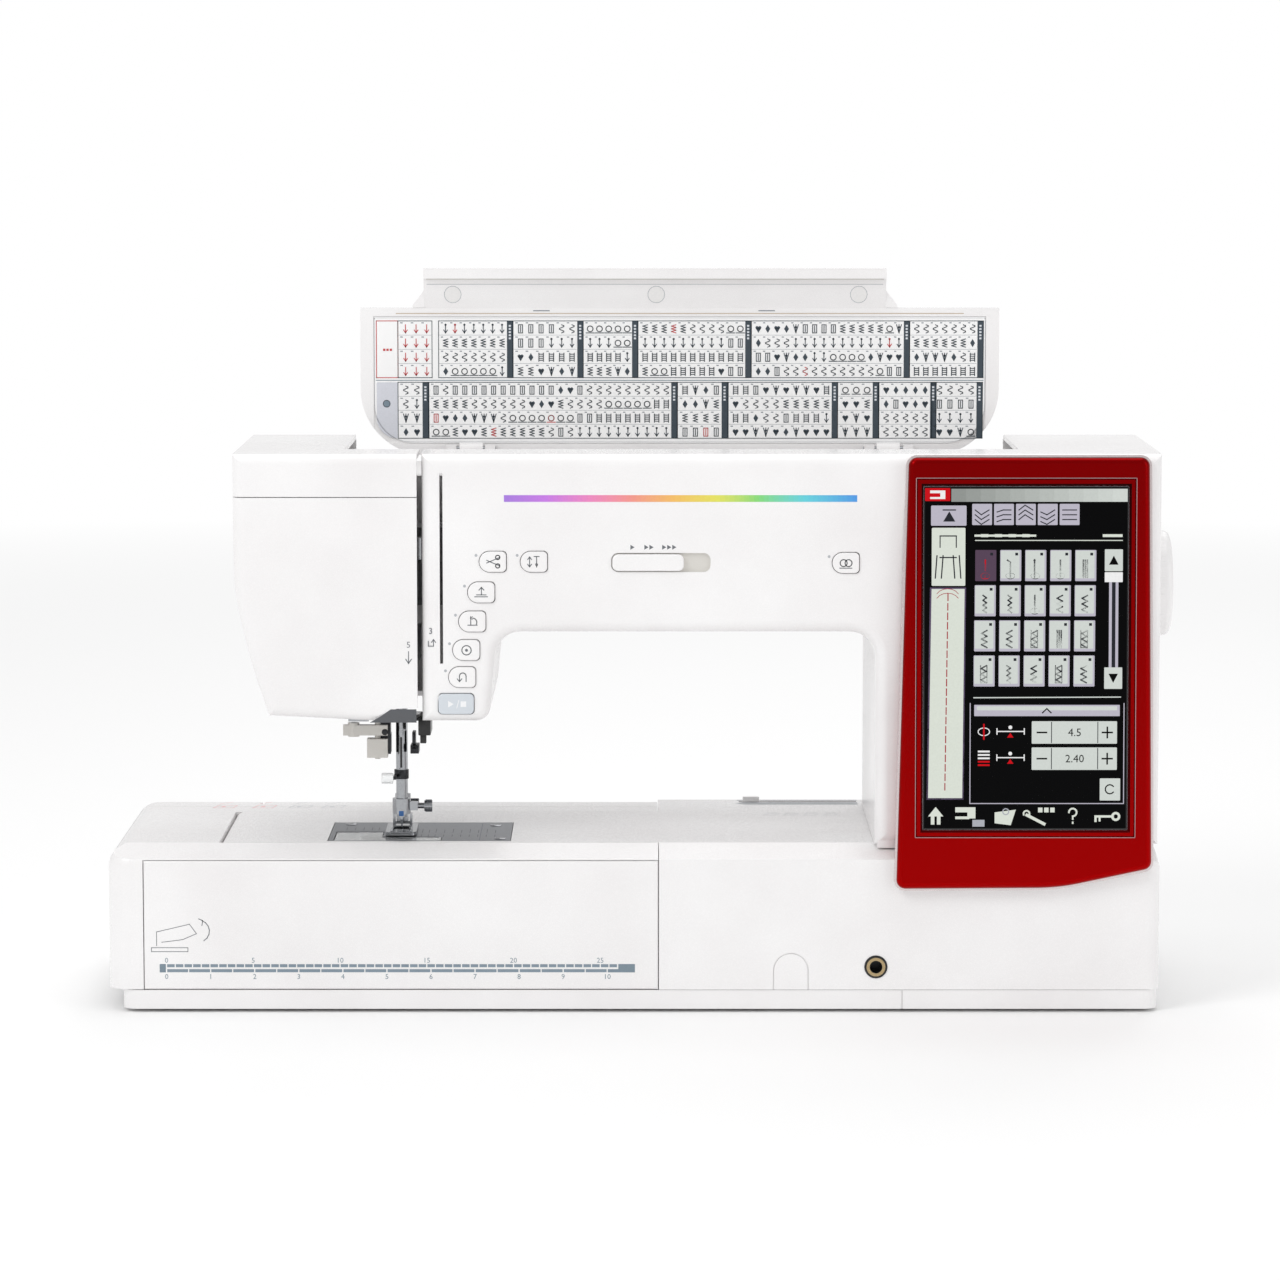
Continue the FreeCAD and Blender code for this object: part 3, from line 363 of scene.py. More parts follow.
class Sheet:
    # collects coloured marks in millimetres and makes them one piece

    def __init__(self, toWorld):
        self.toWorld, self.solids, self.tints = toWorld, [], []

    def add(self, outline, colour, level=1):
        verts, faces = prism(outline, 0, layer * level, self.toWorld)
        self.solids.append((verts, faces))
        self.tints += [inks[colour] if isinstance(colour, str) else colour] * len(faces)

    def block(self, x0, y0, x1, y1, colour, level=1, radius=0.0):
        self.add(roundedOutline(x0, y0, x1, y1, radius, 4), colour, level)

    def line(self, points, width, colour, level=1):
        for (x0, y0), (x1, y1) in zip(points, points[1:]):
            reach = math.hypot(x1 - x0, y1 - y0) or 1e-6
            ax, ay = (x1 - x0) / reach * width / 2, (y1 - y0) / reach * width / 2
            self.add([(x0 - ax - ay * 1, y0 - ay + ax), (x0 - ax + ay, y0 - ay - ax),
                      (x1 + ax + ay, y1 + ay - ax), (x1 + ax - ay, y1 + ay + ax)], colour, level)

    def ring(self, x, y, radius, width, colour, level=1, start=0, end=360, squeeze=1.0):
        steps = max(6, int(abs(end - start) / 24))
        turns = [math.radians(start + (end - start) * i / steps) for i in range(steps + 1)]
        self.line([(x + radius * math.cos(a) * squeeze, y + radius * math.sin(a)) for a in turns], width,
                  colour, level)

    def disc(self, x, y, radius, colour, level=1, sides=12):
        self.add([(x + radius * math.cos(2 * math.pi * i / sides),
                   y + radius * math.sin(2 * math.pi * i / sides))
                  for i in range(sides)], colour, level)

    def frame(self, x0, y0, x1, y1, width, colour, level=1):
        self.line([(x0, y0), (x1, y0), (x1, y1), (x0, y1), (x0, y0)], width, colour, level)

    def number(self, text, x, y, size, colour, level=1, align="CENTER"):
        curve = bpy.data.curves.new("numeral", "FONT")
        curve.body, curve.size, curve.align_x, curve.align_y = text, size, align, "CENTER"
        curve.extrude, curve.resolution_u = 0.5, 2
        holder = bpy.data.objects.new("numeral", curve)
        mesh = bpy.data.meshes.new_from_object(holder)
        thick = layer * level
        verts = [self.toWorld(x + v.co.x, y + v.co.y, (v.co.z + 0.5) * thick) for v in mesh.vertices]
        faces = [tuple(face.vertices) for face in mesh.polygons]
        self.solids.append((verts, faces))
        self.tints += [inks[colour]] * len(faces)
        bpy.data.objects.remove(holder)
        bpy.data.meshes.remove(mesh)
        bpy.data.curves.remove(curve)

    def make(self, name, body, material="ink"):
        verts, faces = join(*self.solids)
        return finish(name, verts, faces, material, body, inkOf=self.tints)


# geometry nodes: one tree that sets a unit on every point of a row, arc or list, and realizes it

def repeatTree(material):
    tree = bpy.data.node_groups.new("repeatUnit", "GeometryNodeTree")
    tree.interface.new_socket("Points", in_out="INPUT", socket_type="NodeSocketGeometry")
    for label, kind in (("Unit", "NodeSocketObject"), ("Size", "NodeSocketFloat")):
        tree.interface.new_socket(label, in_out="INPUT", socket_type=kind)
    tree.interface.new_socket("Mesh", in_out="OUTPUT", socket_type="NodeSocketGeometry")
    given = addNode(tree, "NodeGroupInput")
    unit = addNode(tree, "GeometryNodeObjectInfo", links={"Object": given.outputs["Unit"]})
    spin = addNode(tree, "GeometryNodeInputNamedAttribute", {"data_type": "FLOAT_VECTOR", "Name": "spin"})
    wander = addNode(tree, "FunctionNodeRandomValue", {"data_type": "FLOAT", "Seed": 7, 2: 1.0, 3: 1.0},
                     {3: given.outputs["Size"], 2: given.outputs["Size"]})
    turned = addNode(tree, "FunctionNodeEulerToRotation", links={0: spin.outputs[0]})
    placed = addNode(tree, "GeometryNodeInstanceOnPoints", links={
        "Points": given.outputs["Points"], "Instance": unit.outputs["Geometry"],
        "Rotation": turned.outputs[0], "Scale": wander.outputs[1]})
    real = addNode(tree, "GeometryNodeRealizeInstances", links={0: placed.outputs[0]})
    painted = addNode(tree, "GeometryNodeSetMaterial", {"Material": mat[material]},
                      {"Geometry": real.outputs[0]})
    addNode(tree, "NodeGroupOutput", links={"Mesh": painted.outputs[0]})
    return tree


def repeat(name, unitSolid, places, material, body, spins=None, size=1.0, smoothAngle=40):
    # one copy of a small solid, drawn about the origin, on each place; spins turn it, in degrees
    unitMesh = bpy.data.meshes.new(name + "Unit")
    unitMesh.from_pydata([Vector(v) * mm for v in unitSolid[0]], [], unitSolid[1])
    unit = bpy.data.objects.new(name + "Unit", unitMesh)
    bpy.context.scene.collection.objects.link(unit)
    mesh = bpy.data.meshes.new(name)
    mesh.from_pydata([Vector(p) * mm for p in places], [], [])
    spin = mesh.attributes.new("spin", "FLOAT_VECTOR", "POINT")
    turns = spins or [(0, 0, 0)] * len(places)
    spin.data.foreach_set("vector", [math.radians(a) for turn in turns for a in turn])
    piece = bpy.data.objects.new(name, mesh)
    bpy.context.scene.collection.objects.link(piece)
    tree = repeatTree(material)
    nodesModifier = piece.modifiers.new("repeat", "NODES")
    nodesModifier.node_group = tree
    values = {"Unit": unit, "Size": size}
    for item in tree.interface.items_tree:
        if item.in_out == "INPUT" and item.name in values:
            nodesModifier[item.identifier] = values[item.name]
    applyModifiers(piece)
    bpy.data.objects.remove(unit)
    shadeSmooth(piece, smoothAngle)
    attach(piece, body)
    return piece


def alongX(u, v, w):
    # a rib's outline stands across the X axis and runs along it
    return w, u, v


def aroundX(centre, radius, count):
    # places and turns for ribs set evenly round an axis along X
    turns = [2 * math.pi * i / count for i in range(count)]
    x, y, z = centre
    places = [(x, y + radius * math.sin(turn), z + radius * math.cos(turn)) for turn in turns]
    return places, [(-math.degrees(turn), 0, 0) for turn in turns]


def at(node):
    # a CAD node's lowest and highest corner in millimetres
    low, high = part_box(node)
    return [v / mm for v in low], [v / mm for v in high]


armFront = at("front_cover")[0][1]
bedTop = at("bed_cover")[1][2]
doorFront = at("table_door")[0][1]


# the display: dark glass, a lit interface and, round the window, a bevel in painted shade with painted
# highlight lines

display = {"lean": 3.0, "foot": -104.5, "base": 73.0, "face": 3.36}
lean = math.radians(display["lean"])


def onScreen(u, v, w):
    y = display["face"] - w
    return (u, display["foot"] + y * math.cos(lean) + v * math.sin(lean),
            display["base"] - y * math.sin(lean) + v * math.cos(lean))


def uiAt(px, py):
    # a place in the interface, from shares of its width and height (0, 0 is the upper left)
    return 160.4 + px * 115.8, 230.8 - py * 195.6


def uiBlock(sheet, x0, y0, x1, y1, colour, level=1, radius=0.0):
    left, top = uiAt(x0, y0)
    right, low = uiAt(x1, y1)
    sheet.block(left, low, right, top, colour, level, radius)


def uiLine(sheet, points, width, colour, level):
    sheet.line([uiAt(*p) for p in points], width + 0.22, colour, level)


def tileMark(ui, shape, x, y, tone):
    # one of ten small stitch drawings, in a tile whose upper left corner is x, y
    mid, top, low = x + 0.05, y + 0.03, y + 0.08
    wide = [(mid + (-1) ** i * 0.013, top + i * 0.0083) for i in range(7)]
    if shape in (0, 3, 7):
        for i in range(5):
            uiLine(ui, [(mid, top + i * 0.0105), (mid, top + i * 0.0105 + 0.007)], 0.65, tone, 3)
    elif shape in (2, 9):
        uiLine(ui, [(mid - 0.004, top), (mid - 0.004, low)], 0.65, tone, 3)
        ui.disc(*uiAt(mid - 0.004, top), 0.8, tone, 3, 8)
    elif shape == 1:
        uiLine(ui, [(mid - 0.014, top), (mid, top + 0.006), (mid, low)], 0.65, tone, 3)
    elif shape == 5:
        uiLine(ui, [(mid + (0.008 if i % 2 else -0.008), top + i * 0.0072) for i in range(8)], 0.7,
               tone, 3)
    elif shape == 4:
        for dx in (-0.01, 0.0, 0.01):
            uiLine(ui, [(mid + dx, top), (mid + dx, low)], 0.65, tone, 3)
    elif shape == 6:
        uiLine(ui, wide, 0.65, tone, 3)
        uiLine(ui, [(mid - 0.016, top), (mid - 0.016, low), (mid + 0.016, low), (mid + 0.016, top)],
               0.4, tone, 3)
    else:
        uiLine(ui, wide, 0.65, tone, 3)
    if shape in (0, 1, 2, 3, 7):
        ui.ring(*uiAt(mid, low - 0.004), 1.7, 0.4, tone, 3, squeeze=1.5)


def drawTiles(ui):
    # twenty stitch tiles, five across; the first is picked
    order = (0, 1, 2, 3, 4, 5, 5, 7, 8, 8, 8, 8, 6, 4, 6, 6, 5, 8, 6, 8)
    for i, shape in enumerate(order):
        row, column = divmod(i, 5)
        x, y = 0.249 + column * 0.1235 - row * 0.002, 0.183 + row * 0.103
        picked = i == 0
        uiBlock(ui, x, y, x + 0.104, y + 0.091, "uiPick" if picked else "uiShade", 2, 0.5)
        uiBlock(ui, x + 0.003, y + 0.002, x + 0.095, y + 0.083, "uiPick" if picked else "uiTile", 3, 0.5)
        tileMark(ui, shape, x, y, "uiRed" if picked else "uiDark")
        uiBlock(ui, x + 0.074, y + 0.008, x + 0.088, y + 0.016, "uiDark", 4)


def drawPanels(ui):
    # title bar, foot panel, stitch preview and the row of small buttons
    for i in range(12):
        tone = tuple(inks["uiTile"][k] * (0.45 + 0.05 * i) for k in range(3)) + (1.0,)
        left, top = uiAt(0.13 + 0.0725 * i, 0.004)
        right, low = uiAt(0.13 + 0.0725 * (i + 1), 0.042)
        ui.block(left, low, right, top, tone, 2)
    uiBlock(ui, 0.0, 0.002, 0.125, 0.04, "uiRed", 3, 0.5)
    uiBlock(ui, 0.025, 0.009, 0.1, 0.017, "uiWhite", 4)
    uiBlock(ui, 0.075, 0.009, 0.1, 0.032, "uiWhite", 4)
    uiBlock(ui, 0.025, 0.028, 0.1, 0.034, "uiWhite", 4)
    uiBlock(ui, 0.03, 0.053, 0.205, 0.112, "uiShade", 2, 0.6)
    ui.add([uiAt(0.09, 0.1), uiAt(0.15, 0.1), uiAt(0.12, 0.07)], "uiDark", 3)
    uiLine(ui, [(0.09, 0.066), (0.15, 0.066)], 0.5, "uiDark", 3)
    uiBlock(ui, 0.034, 0.118, 0.2, 0.288, "uiPaper", 2, 0.6)
    for y in (0.142, 0.205):
        uiLine(ui, [(0.075, y), (0.155, y)], 0.5, "uiDark", 3)
    for x in (0.06, 0.09, 0.14, 0.17):
        uiLine(ui, [(x, 0.2), (x + (0.008 if x > 0.1 else -0.008), 0.265)], 0.5, "uiDark", 3)
    for x in (0.075, 0.155):
        uiLine(ui, [(x, 0.142), (x, 0.175)], 0.4, "uiDark", 3)
    corners = [uiAt(0.026, 0.293), uiAt(0.204, 0.293), uiAt(0.196, 0.916), uiAt(0.012, 0.916)]
    ui.add(corners[::-1], "uiEdge", 1)
    ui.add([uiAt(0.034, 0.297), uiAt(0.197, 0.297), uiAt(0.189, 0.911), uiAt(0.02, 0.911)][::-1],
           "uiPaper", 2)
    ui.ring(*uiAt(0.113, 0.322), 5.0, 0.35, "uiRust", 3, 25, 155, 1.35)
    ui.ring(*uiAt(0.113, 0.335), 5.0, 0.35, "uiRust", 3, 25, 155, 1.35)
    for i in range(21):
        y = 0.312 + i * 0.0278
        uiLine(ui, [(0.115 - i * 0.0006, y), (0.115 - i * 0.0006, y + 0.019)], 0.4, "uiRust", 3)
    for i in range(5):
        x = 0.233 + i * 0.108
        uiBlock(ui, x, 0.048, x + 0.098, 0.11, "uiShade", 2, 0.5)
        for k in range(3):
            uiLine(ui, [(x + 0.015, 0.066 + 0.014 * k + 0.006 * (i % 2)),
                        (x + 0.045, 0.066 + 0.014 * (k - i % 3 + 1)),
                        (x + 0.083, 0.066 + 0.014 * k)], 0.4, "uiDark", 3)
    uiLine(ui, [(0.25, 0.155), (0.975, 0.155)], 0.3, "uiPaper", 2)
    for i in range(9):
        uiLine(ui, [(0.25 + i * 0.034, 0.141), (0.272 + i * 0.034, 0.141)], 1.0 + 0.5 * (i % 2),
               "uiPaper", 2)
    for i in range(3):
        uiLine(ui, [(0.885 + i * 0.032, 0.141), (0.905 + i * 0.032, 0.141)], 1.4, "uiPaper", 2)


def drawControls(ui):
    # scroll bar, width and length boxes and their icons
    for y0, y1, way in ((0.181, 0.245, 1), (0.527, 0.59, -1)):
        uiBlock(ui, 0.889, y0, 0.978, y1, "uiTile", 2, 0.4)
        middle = (y0 + y1) / 2
        point = [uiAt(0.91, middle + 0.013 * way), uiAt(0.957, middle + 0.013 * way),
                 uiAt(0.9335, middle - 0.014 * way)]
        ui.add(point, "uiBlack", 3)
    uiBlock(ui, 0.889, 0.248, 0.978, 0.277, "uiWhite", 3, 0.3)
    uiBlock(ui, 0.911, 0.277, 0.957, 0.527, "uiShade", 2)
    uiBlock(ui, 0.925, 0.277, 0.943, 0.527, "uiDark", 3)
    uiLine(ui, [(0.245, 0.616), (0.97, 0.614)], 0.4, "uiTile", 2)
    uiLine(ui, [(0.227, 0.633), (0.227, 0.927), (0.988, 0.927), (0.988, 0.633)], 0.3, "uiShade", 2)
    uiBlock(ui, 0.247, 0.637, 0.967, 0.67, "uiShade", 2, 0.3)
    uiBlock(ui, 0.26, 0.641, 0.954, 0.653, "uiTile", 3, 0.3)
    uiLine(ui, [(0.585, 0.66), (0.606, 0.648), (0.627, 0.66)], 0.5, "uiBlack", 4)
    for row, label in enumerate(("4.5", "2.40")):
        y = 0.685 + row * 0.077
        uiBlock(ui, 0.532, y, 0.954, y + 0.066, "uiTile", 2, 0.5)
        for x in (0.63, 0.859):
            uiLine(ui, [(x, y + 0.003), (x, y + 0.063)], 0.25, "uiDark", 3)
        ui.number(label, *uiAt(0.745, y + 0.034), 6.4, "uiBlack", 3)
        uiLine(ui, [(0.56, y + 0.033), (0.605, y + 0.033)], 0.7, "uiBlack", 3)
        uiLine(ui, [(0.882, y + 0.033), (0.93, y + 0.033)], 0.7, "uiBlack", 3)
        uiLine(ui, [(0.906, y + 0.018), (0.906, y + 0.048)], 0.7, "uiBlack", 3)
        uiLine(ui, [(0.36, y + 0.03), (0.495, y + 0.03)], 0.4, "uiWhite", 2)
        for x in (0.36, 0.495):
            uiLine(ui, [(x, y + 0.022), (x, y + 0.038)], 0.4, "uiWhite", 2)
        ui.disc(*uiAt(0.426, y + 0.018), 1.1, "uiWhite", 3)
        ui.add([uiAt(0.41, y + 0.048), uiAt(0.442, y + 0.048), uiAt(0.426, y + 0.034)], "uiRed", 3)
        if row:
            for k in range(5):
                uiLine(ui, [(0.27, y + 0.012 + k * 0.01), (0.32, y + 0.012 + k * 0.01)], 0.8,
                       "uiRed" if k > 2 else "uiWhite", 2)
        else:
            uiLine(ui, [(0.295, y + 0.01), (0.295, y + 0.052)], 0.7, "uiRed", 3)
            ui.ring(*uiAt(0.295, y + 0.031), 2.2, 0.5, "uiWhite", 2, squeeze=1.5)
    uiBlock(ui, 0.87, 0.853, 0.971, 0.918, "uiTile", 2, 0.4)
    ui.ring(*uiAt(0.92, 0.885), 2.6, 0.7, "uiBlack", 3, 40, 320)


def drawIconRow(ui):
    y, tone = 0.965, "uiPaper"
    ui.add([uiAt(0.02, y), uiAt(0.096, y), uiAt(0.058, y - 0.028)], tone, 2)
    uiBlock(ui, 0.034, y, 0.052, y + 0.024, tone, 2)
    uiBlock(ui, 0.064, y, 0.082, y + 0.024, tone, 2)
    uiBlock(ui, 0.155, y - 0.027, 0.23, y - 0.012, tone, 2)
    uiBlock(ui, 0.215, y - 0.027, 0.255, y + 0.006, tone, 2)
    uiBlock(ui, 0.155, y, 0.225, y + 0.008, tone, 2)
    uiBlock(ui, 0.24, y + 0.01, 0.3, y + 0.03, "uiSilver", 2)
    ui.add([uiAt(0.35, y - 0.012), uiAt(0.455, y - 0.02), uiAt(0.43, y + 0.026),
            uiAt(0.35, y + 0.02)][::-1], tone, 2)
    ui.ring(*uiAt(0.405, y - 0.014), 1.7, 0.6, "uiSilver", 3)
    uiLine(ui, [(0.51, y - 0.004), (0.595, y + 0.022)], 1.5, tone, 2)
    ui.ring(*uiAt(0.508, y - 0.008), 1.7, 0.9, tone, 2, -60, 200)
    for i in range(3):
        uiBlock(ui, 0.565 + 0.03 * i, y - 0.026, 0.587 + 0.03 * i, y - 0.012, tone, 2)
    ui.ring(*uiAt(0.737, y - 0.012), 2.2, 0.95, tone, 2, -90, 180)
    uiBlock(ui, 0.733, y - 0.002, 0.741, y + 0.01, tone, 2)
    uiBlock(ui, 0.733, y + 0.015, 0.741, y + 0.022, tone, 2)
    ui.ring(*uiAt(0.95, y), 1.9, 1.3, tone, 2)
    uiLine(ui, [(0.935, y), (0.85, y), (0.85, y + 0.013)], 1.1, tone, 2)
    uiLine(ui, [(0.87, y), (0.87, y + 0.012)], 0.9, tone, 2)


def drawInterface():
    ui = Sheet(onScreen)
    uiBlock(ui, 0, 0, 1, 1, "uiBlack")
    drawPanels(ui)
    drawTiles(ui)
    drawControls(ui)
    drawIconRow(ui)
    return ui.make("displayInterface", "machine", "pixels")


def ringSolid(rings, toWorld):
    # closed tube from loops of equal length, each (outline, w); the last joins the first
    count = len(rings[0][0])
    verts = [toWorld(u, v, w) for outline, w in rings for u, v in outline]
    faces = []
    for k in range(len(rings)):
        after = (k + 1) % len(rings)
        for i in range(count):
            j = (i + 1) % count
            faces.append((k * count + i, k * count + j, after * count + j, after * count + i))
    return verts, faces


def orient(piece):
    # make every face look outward
    shape = bmesh.new()
    shape.from_mesh(piece.data)
    bmesh.ops.recalc_face_normals(shape, faces=shape.faces)
    shape.to_mesh(piece.data)
    shape.free()
    return piece


def windowTrim():
    # the bevel between the frame and the glass, in a darker red copy as painted shade, with a painted
    # highlight line at each edge
    outer = roundedOutline(155.4, 30.4, 280.9, 236.0, 0.6, 4)
    middle = roundedOutline(155.8, 30.8, 280.5, 235.6, 0.5, 4)
    inner = roundedOutline(159.6, 34.4, 276.9, 231.4, 0.3, 4)
    verts, faces = ringSolid([(outer, 3.2), (outer, 3.44), (middle, 3.5), (inner, 0.4), (inner, 0.02)],
                             onScreen)
    orient(finish("displayTrim", verts, faces, "redDeep", "machine", smoothAngle=20))
    edge = Sheet(onScreen)
    # painted highlights: a silver line at the inner edge and a rose line at the outer edge stand in for
    # glints on the bevel
    edge.frame(159.4, 34.2, 277.1, 231.6, 0.35, "uiSilver", 16)
    edge.frame(155.2, 30.2, 281.1, 236.2, 0.35, "uiRose", 142)
    edge.make("displayEdgeLine", "machine")


drawInterface()
windowTrim()
print("display done")


def roundPolygon(points, radii, steps=6):
    # round a polygon's corners; points run anticlockwise
    outline = []
    for i, point in enumerate(points):
        here, before, after = Vector(point), Vector(points[i - 1]), Vector(points[(i + 1) % len(points)])
        a, b = (before - here).normalized(), (after - here).normalized()
        half = a.angle(b) / 2
        run = radii[i] / math.tan(half)
        centre = here + (a + b).normalized() * (radii[i] / math.sin(half))
        first, last = here + a * run, here + b * run
        turn = (first - centre).angle_signed(last - centre)
        for k in range(steps + 1):
            arm = (first - centre)
            arm.rotate(Matrix.Rotation(-turn * k / steps, 2))
            outline.append(tuple(centre + arm))
    return outline


def bezelTrim():
    # a thin bright bead round the red frame, behind its rounded front edge
    corners = [(144.5, 0.4), (238, 1), (291, 12.2), (288.8, 248), (151, 248)]
    rounds = [5, 120, 5, 5, 5]
    wider = 1.2
    grown = [(144.5 - wider, 0.4 - wider), (238, 1 - wider), (291 + wider, 12.2 - wider),
             (288.8 + wider, 248 + wider), (151 - wider, 248 + wider)]
    outer = roundPolygon(grown, [r + wider for r in rounds])
    inner = roundPolygon([(x + (0.25 if x < 200 else -0.25), z) for x, z in corners], rounds)
    front = display["face"] - 2.9
    verts, faces = ringSolid([(inner, front), (outer, front), (outer, front - 8), (inner, front - 8)],
                             onScreen)
    orient(finish("screenFrameBead", verts, faces, "bead", "machine", smoothAngle=30))


bezelTrim()


# the stitch chart: two rows of cells with four lines of stitch marks, printed on the sheet in the lid

chart = {"left": -163.0, "right": 206.0, "split": 354.3, "low": 317.0, "top": 392.0, "face": 83.08}
upperCells = [(-161.8, -148.8, "outline"), (-147.9, -128.7, "arrows"), (-123.3, -83.5, "pins"),
              (-78.3, -41.0, "holes"), (-35.9, -7.9, "rings"), (-2.8, 60.5, "zigzag"),
              (65.7, 156.3, "motifs"), (161.4, 200.8, "waves")]
lowerCells = [(-161.8, -148.6, "icon"), (-148.0, -134.7, "waves"), (-129.3, 15.8, "motifs"),
              (21.1, 46.3, "holes"), (51.8, 112.9, "ladders"), (118.0, 137.7, "rings"),
              (143.0, 172.5, "zigzag"), (175.0, 200.5, "waves")]


def drawGlyph(sheet, kind, x, y, size, pick):
    # one small stitch drawing, about size across
    colour = "red" if pick == 0 else "slate"
    thin = size * 0.11
    half = size / 2
    if kind in ("arrows", "pins"):
        tone = "red" if kind == "arrows" or pick < 2 else "slate"
        sheet.line([(x, y - half), (x, y + half)], thin, tone, 2)
        sheet.line([(x - half * 0.45, y - half * 0.3), (x, y - half), (x + half * 0.45, y - half * 0.3)],
                   thin, tone, 2)
        if kind == "pins":
            sheet.disc(x, y + half, size * 0.14, tone, 2, 8)
    elif kind == "holes":
        sheet.frame(x - half * 0.5, y - half, x + half * 0.5, y + half, thin, colour, 2)
        sheet.line([(x, y - half * 0.7), (x, y + half * 0.7)], thin, colour, 2)
    elif kind == "rings":
        sheet.ring(x, y, half * 0.7, thin, colour, 2)
        sheet.line([(x - half, y - half), (x + half, y - half)], thin, colour, 2)
    elif kind == "zigzag":
        points = [(x + (-1) ** i * half * 0.55, y - half + i * size / 6) for i in range(7)]
        sheet.line(points, thin, colour, 2)
    elif kind == "waves":
        points = [(x + half * 0.6 * math.sin(i * 1.05), y - half + i * size / 9) for i in range(10)]
        sheet.line(points, thin, colour, 2)
    elif kind == "ladders":
        for side in (-1, 1):
            sheet.line([(x + side * half * 0.55, y - half), (x + side * half * 0.55, y + half)], thin,
                       colour, 2)
        for i in range(4):
            level = y - half * 0.75 + i * half * 0.5
            sheet.line([(x - half * 0.55, level), (x + half * 0.55, level)], thin, colour, 2)
    elif pick % 3 == 0:
        sheet.add([(x, y - half), (x + half * 0.6, y), (x, y + half), (x - half * 0.6, y)], colour, 2)
    elif pick % 3 == 1:
        for way in (-1, 0, 1):
            sheet.line([(x, y - half), (x + way * half * 0.6, y + half)], thin, colour, 2)
        sheet.disc(x, y + half * 0.4, size * 0.16, colour, 2, 6)
    else:
        sheet.disc(x - size * 0.17, y + size * 0.15, size * 0.2, colour, 2, 8)
        sheet.disc(x + size * 0.17, y + size * 0.15, size * 0.2, colour, 2, 8)
        sheet.add([(x - size * 0.34, y + size * 0.08), (x, y - half), (x + size * 0.34, y + size * 0.08)],
                  colour, 2)


def drawCells(sheet, cells, low, high, seed):
    # framed cells with a dark bar down the right, thin dividers, and four lines of marks
    rng = random.Random(seed)
    kinds = ("pins", "holes", "rings", "zigzag", "waves", "ladders", "motifs", "motifs")
    rows = 4
    tall = (high - low) / rows
    middle = (low + high) / 2
    for x0, x1, kind in cells:
        if kind == "outline":
            sheet.frame(x0, low, x1, high, 0.5, "red", 2)
            for k in range(3):
                sheet.block(x0 + 4 + 2 * k, middle - 1, x0 + 5.4 + 2 * k, middle + 0.4, "red", 2)
            continue
        if kind == "icon":
            corner = roundedOutline(x0, low, x1 - 0.6, high, [12.4, 0.1, 0.1, 0.5], 8)
            sheet.add(corner, "corner", 1)
            sheet.disc((x0 + x1) / 2 - 0.6, middle + 4, 2.1, "ruler", 2, 20)
            sheet.ring((x0 + x1) / 2 - 0.6, middle + 4, 2.1, 0.4, "slate", 3)
            continue
        barred = x1 < 203 and kind != "arrows"
        right = x1 + (4.2 if barred else 0.5)
        sheet.frame(x0 - 0.9, low, right, high, 0.45, "slate", 2)
        count = max(2, int((x1 - x0) / 5.6))
        step = (x1 - x0) / count
        for row in range(rows):
            y = low + tall * (row + 0.5)
            if row:
                sheet.line([(x0 - 0.6, low + tall * row), (x1, low + tall * row)], 0.18, "grey", 1)
            lineKind = kind if row == 3 or kind == "arrows" else rng.choice(kinds)
            for i in range(count):
                x = x0 + step * (i + 0.5)
                if kind != "arrows" and rng.random() < 0.25:
                    lineKind = rng.choice(kinds)
                pick = rng.randrange(1 if kind == "arrows" else 60)
                drawGlyph(sheet, lineKind, x + 0.5, y - 0.5, 4.9, pick)
                sheet.block(x - step * 0.42, y + tall * 0.33, x - step * 0.18, y + tall * 0.4, "grey", 2)
        if barred:
            sheet.block(x1 + 0.6, low, x1 + 4.2, high, "slate", 2)
            for k in range(5):
                mark = high - 2.4 - 1.9 * k
                sheet.block(x1 + 1.7, mark - 1.1, x1 + 3.0, mark, "pale", 3)


def drawChart():
    sheet = Sheet(frontAt(chart["face"]))
    outline = roundedOutline(chart["left"], chart["low"], chart["right"], chart["top"],
                             [22, 22, 0.5, 0.5], 10)
    sheet.line(outline + outline[:1], 0.25, "faint", 1)
    drawCells(sheet, upperCells, chart["split"] + 1.6, chart["top"] - 1.8, 3)
    drawCells(sheet, lowerCells, chart["low"] + 2.2, chart["split"] - 1.2, 11)
    sheet.line([(chart["left"] + 1, chart["split"]), (chart["right"] - 1, chart["split"])], 0.5,
               "ruler", 1)
    return sheet.make("chartPrint", "lid_body")


drawChart()
print("chart done")


# the ruler: centimetre and inch scales along the table's front, set out by geometry nodes

ruler = {"zero": -275.4, "cm": 25, "inch": 10, "inchLong": 25.4, "cmRow": 27.3, "inchRow": 24.4,
         "numberRow": 30.3, "face": doorFront}


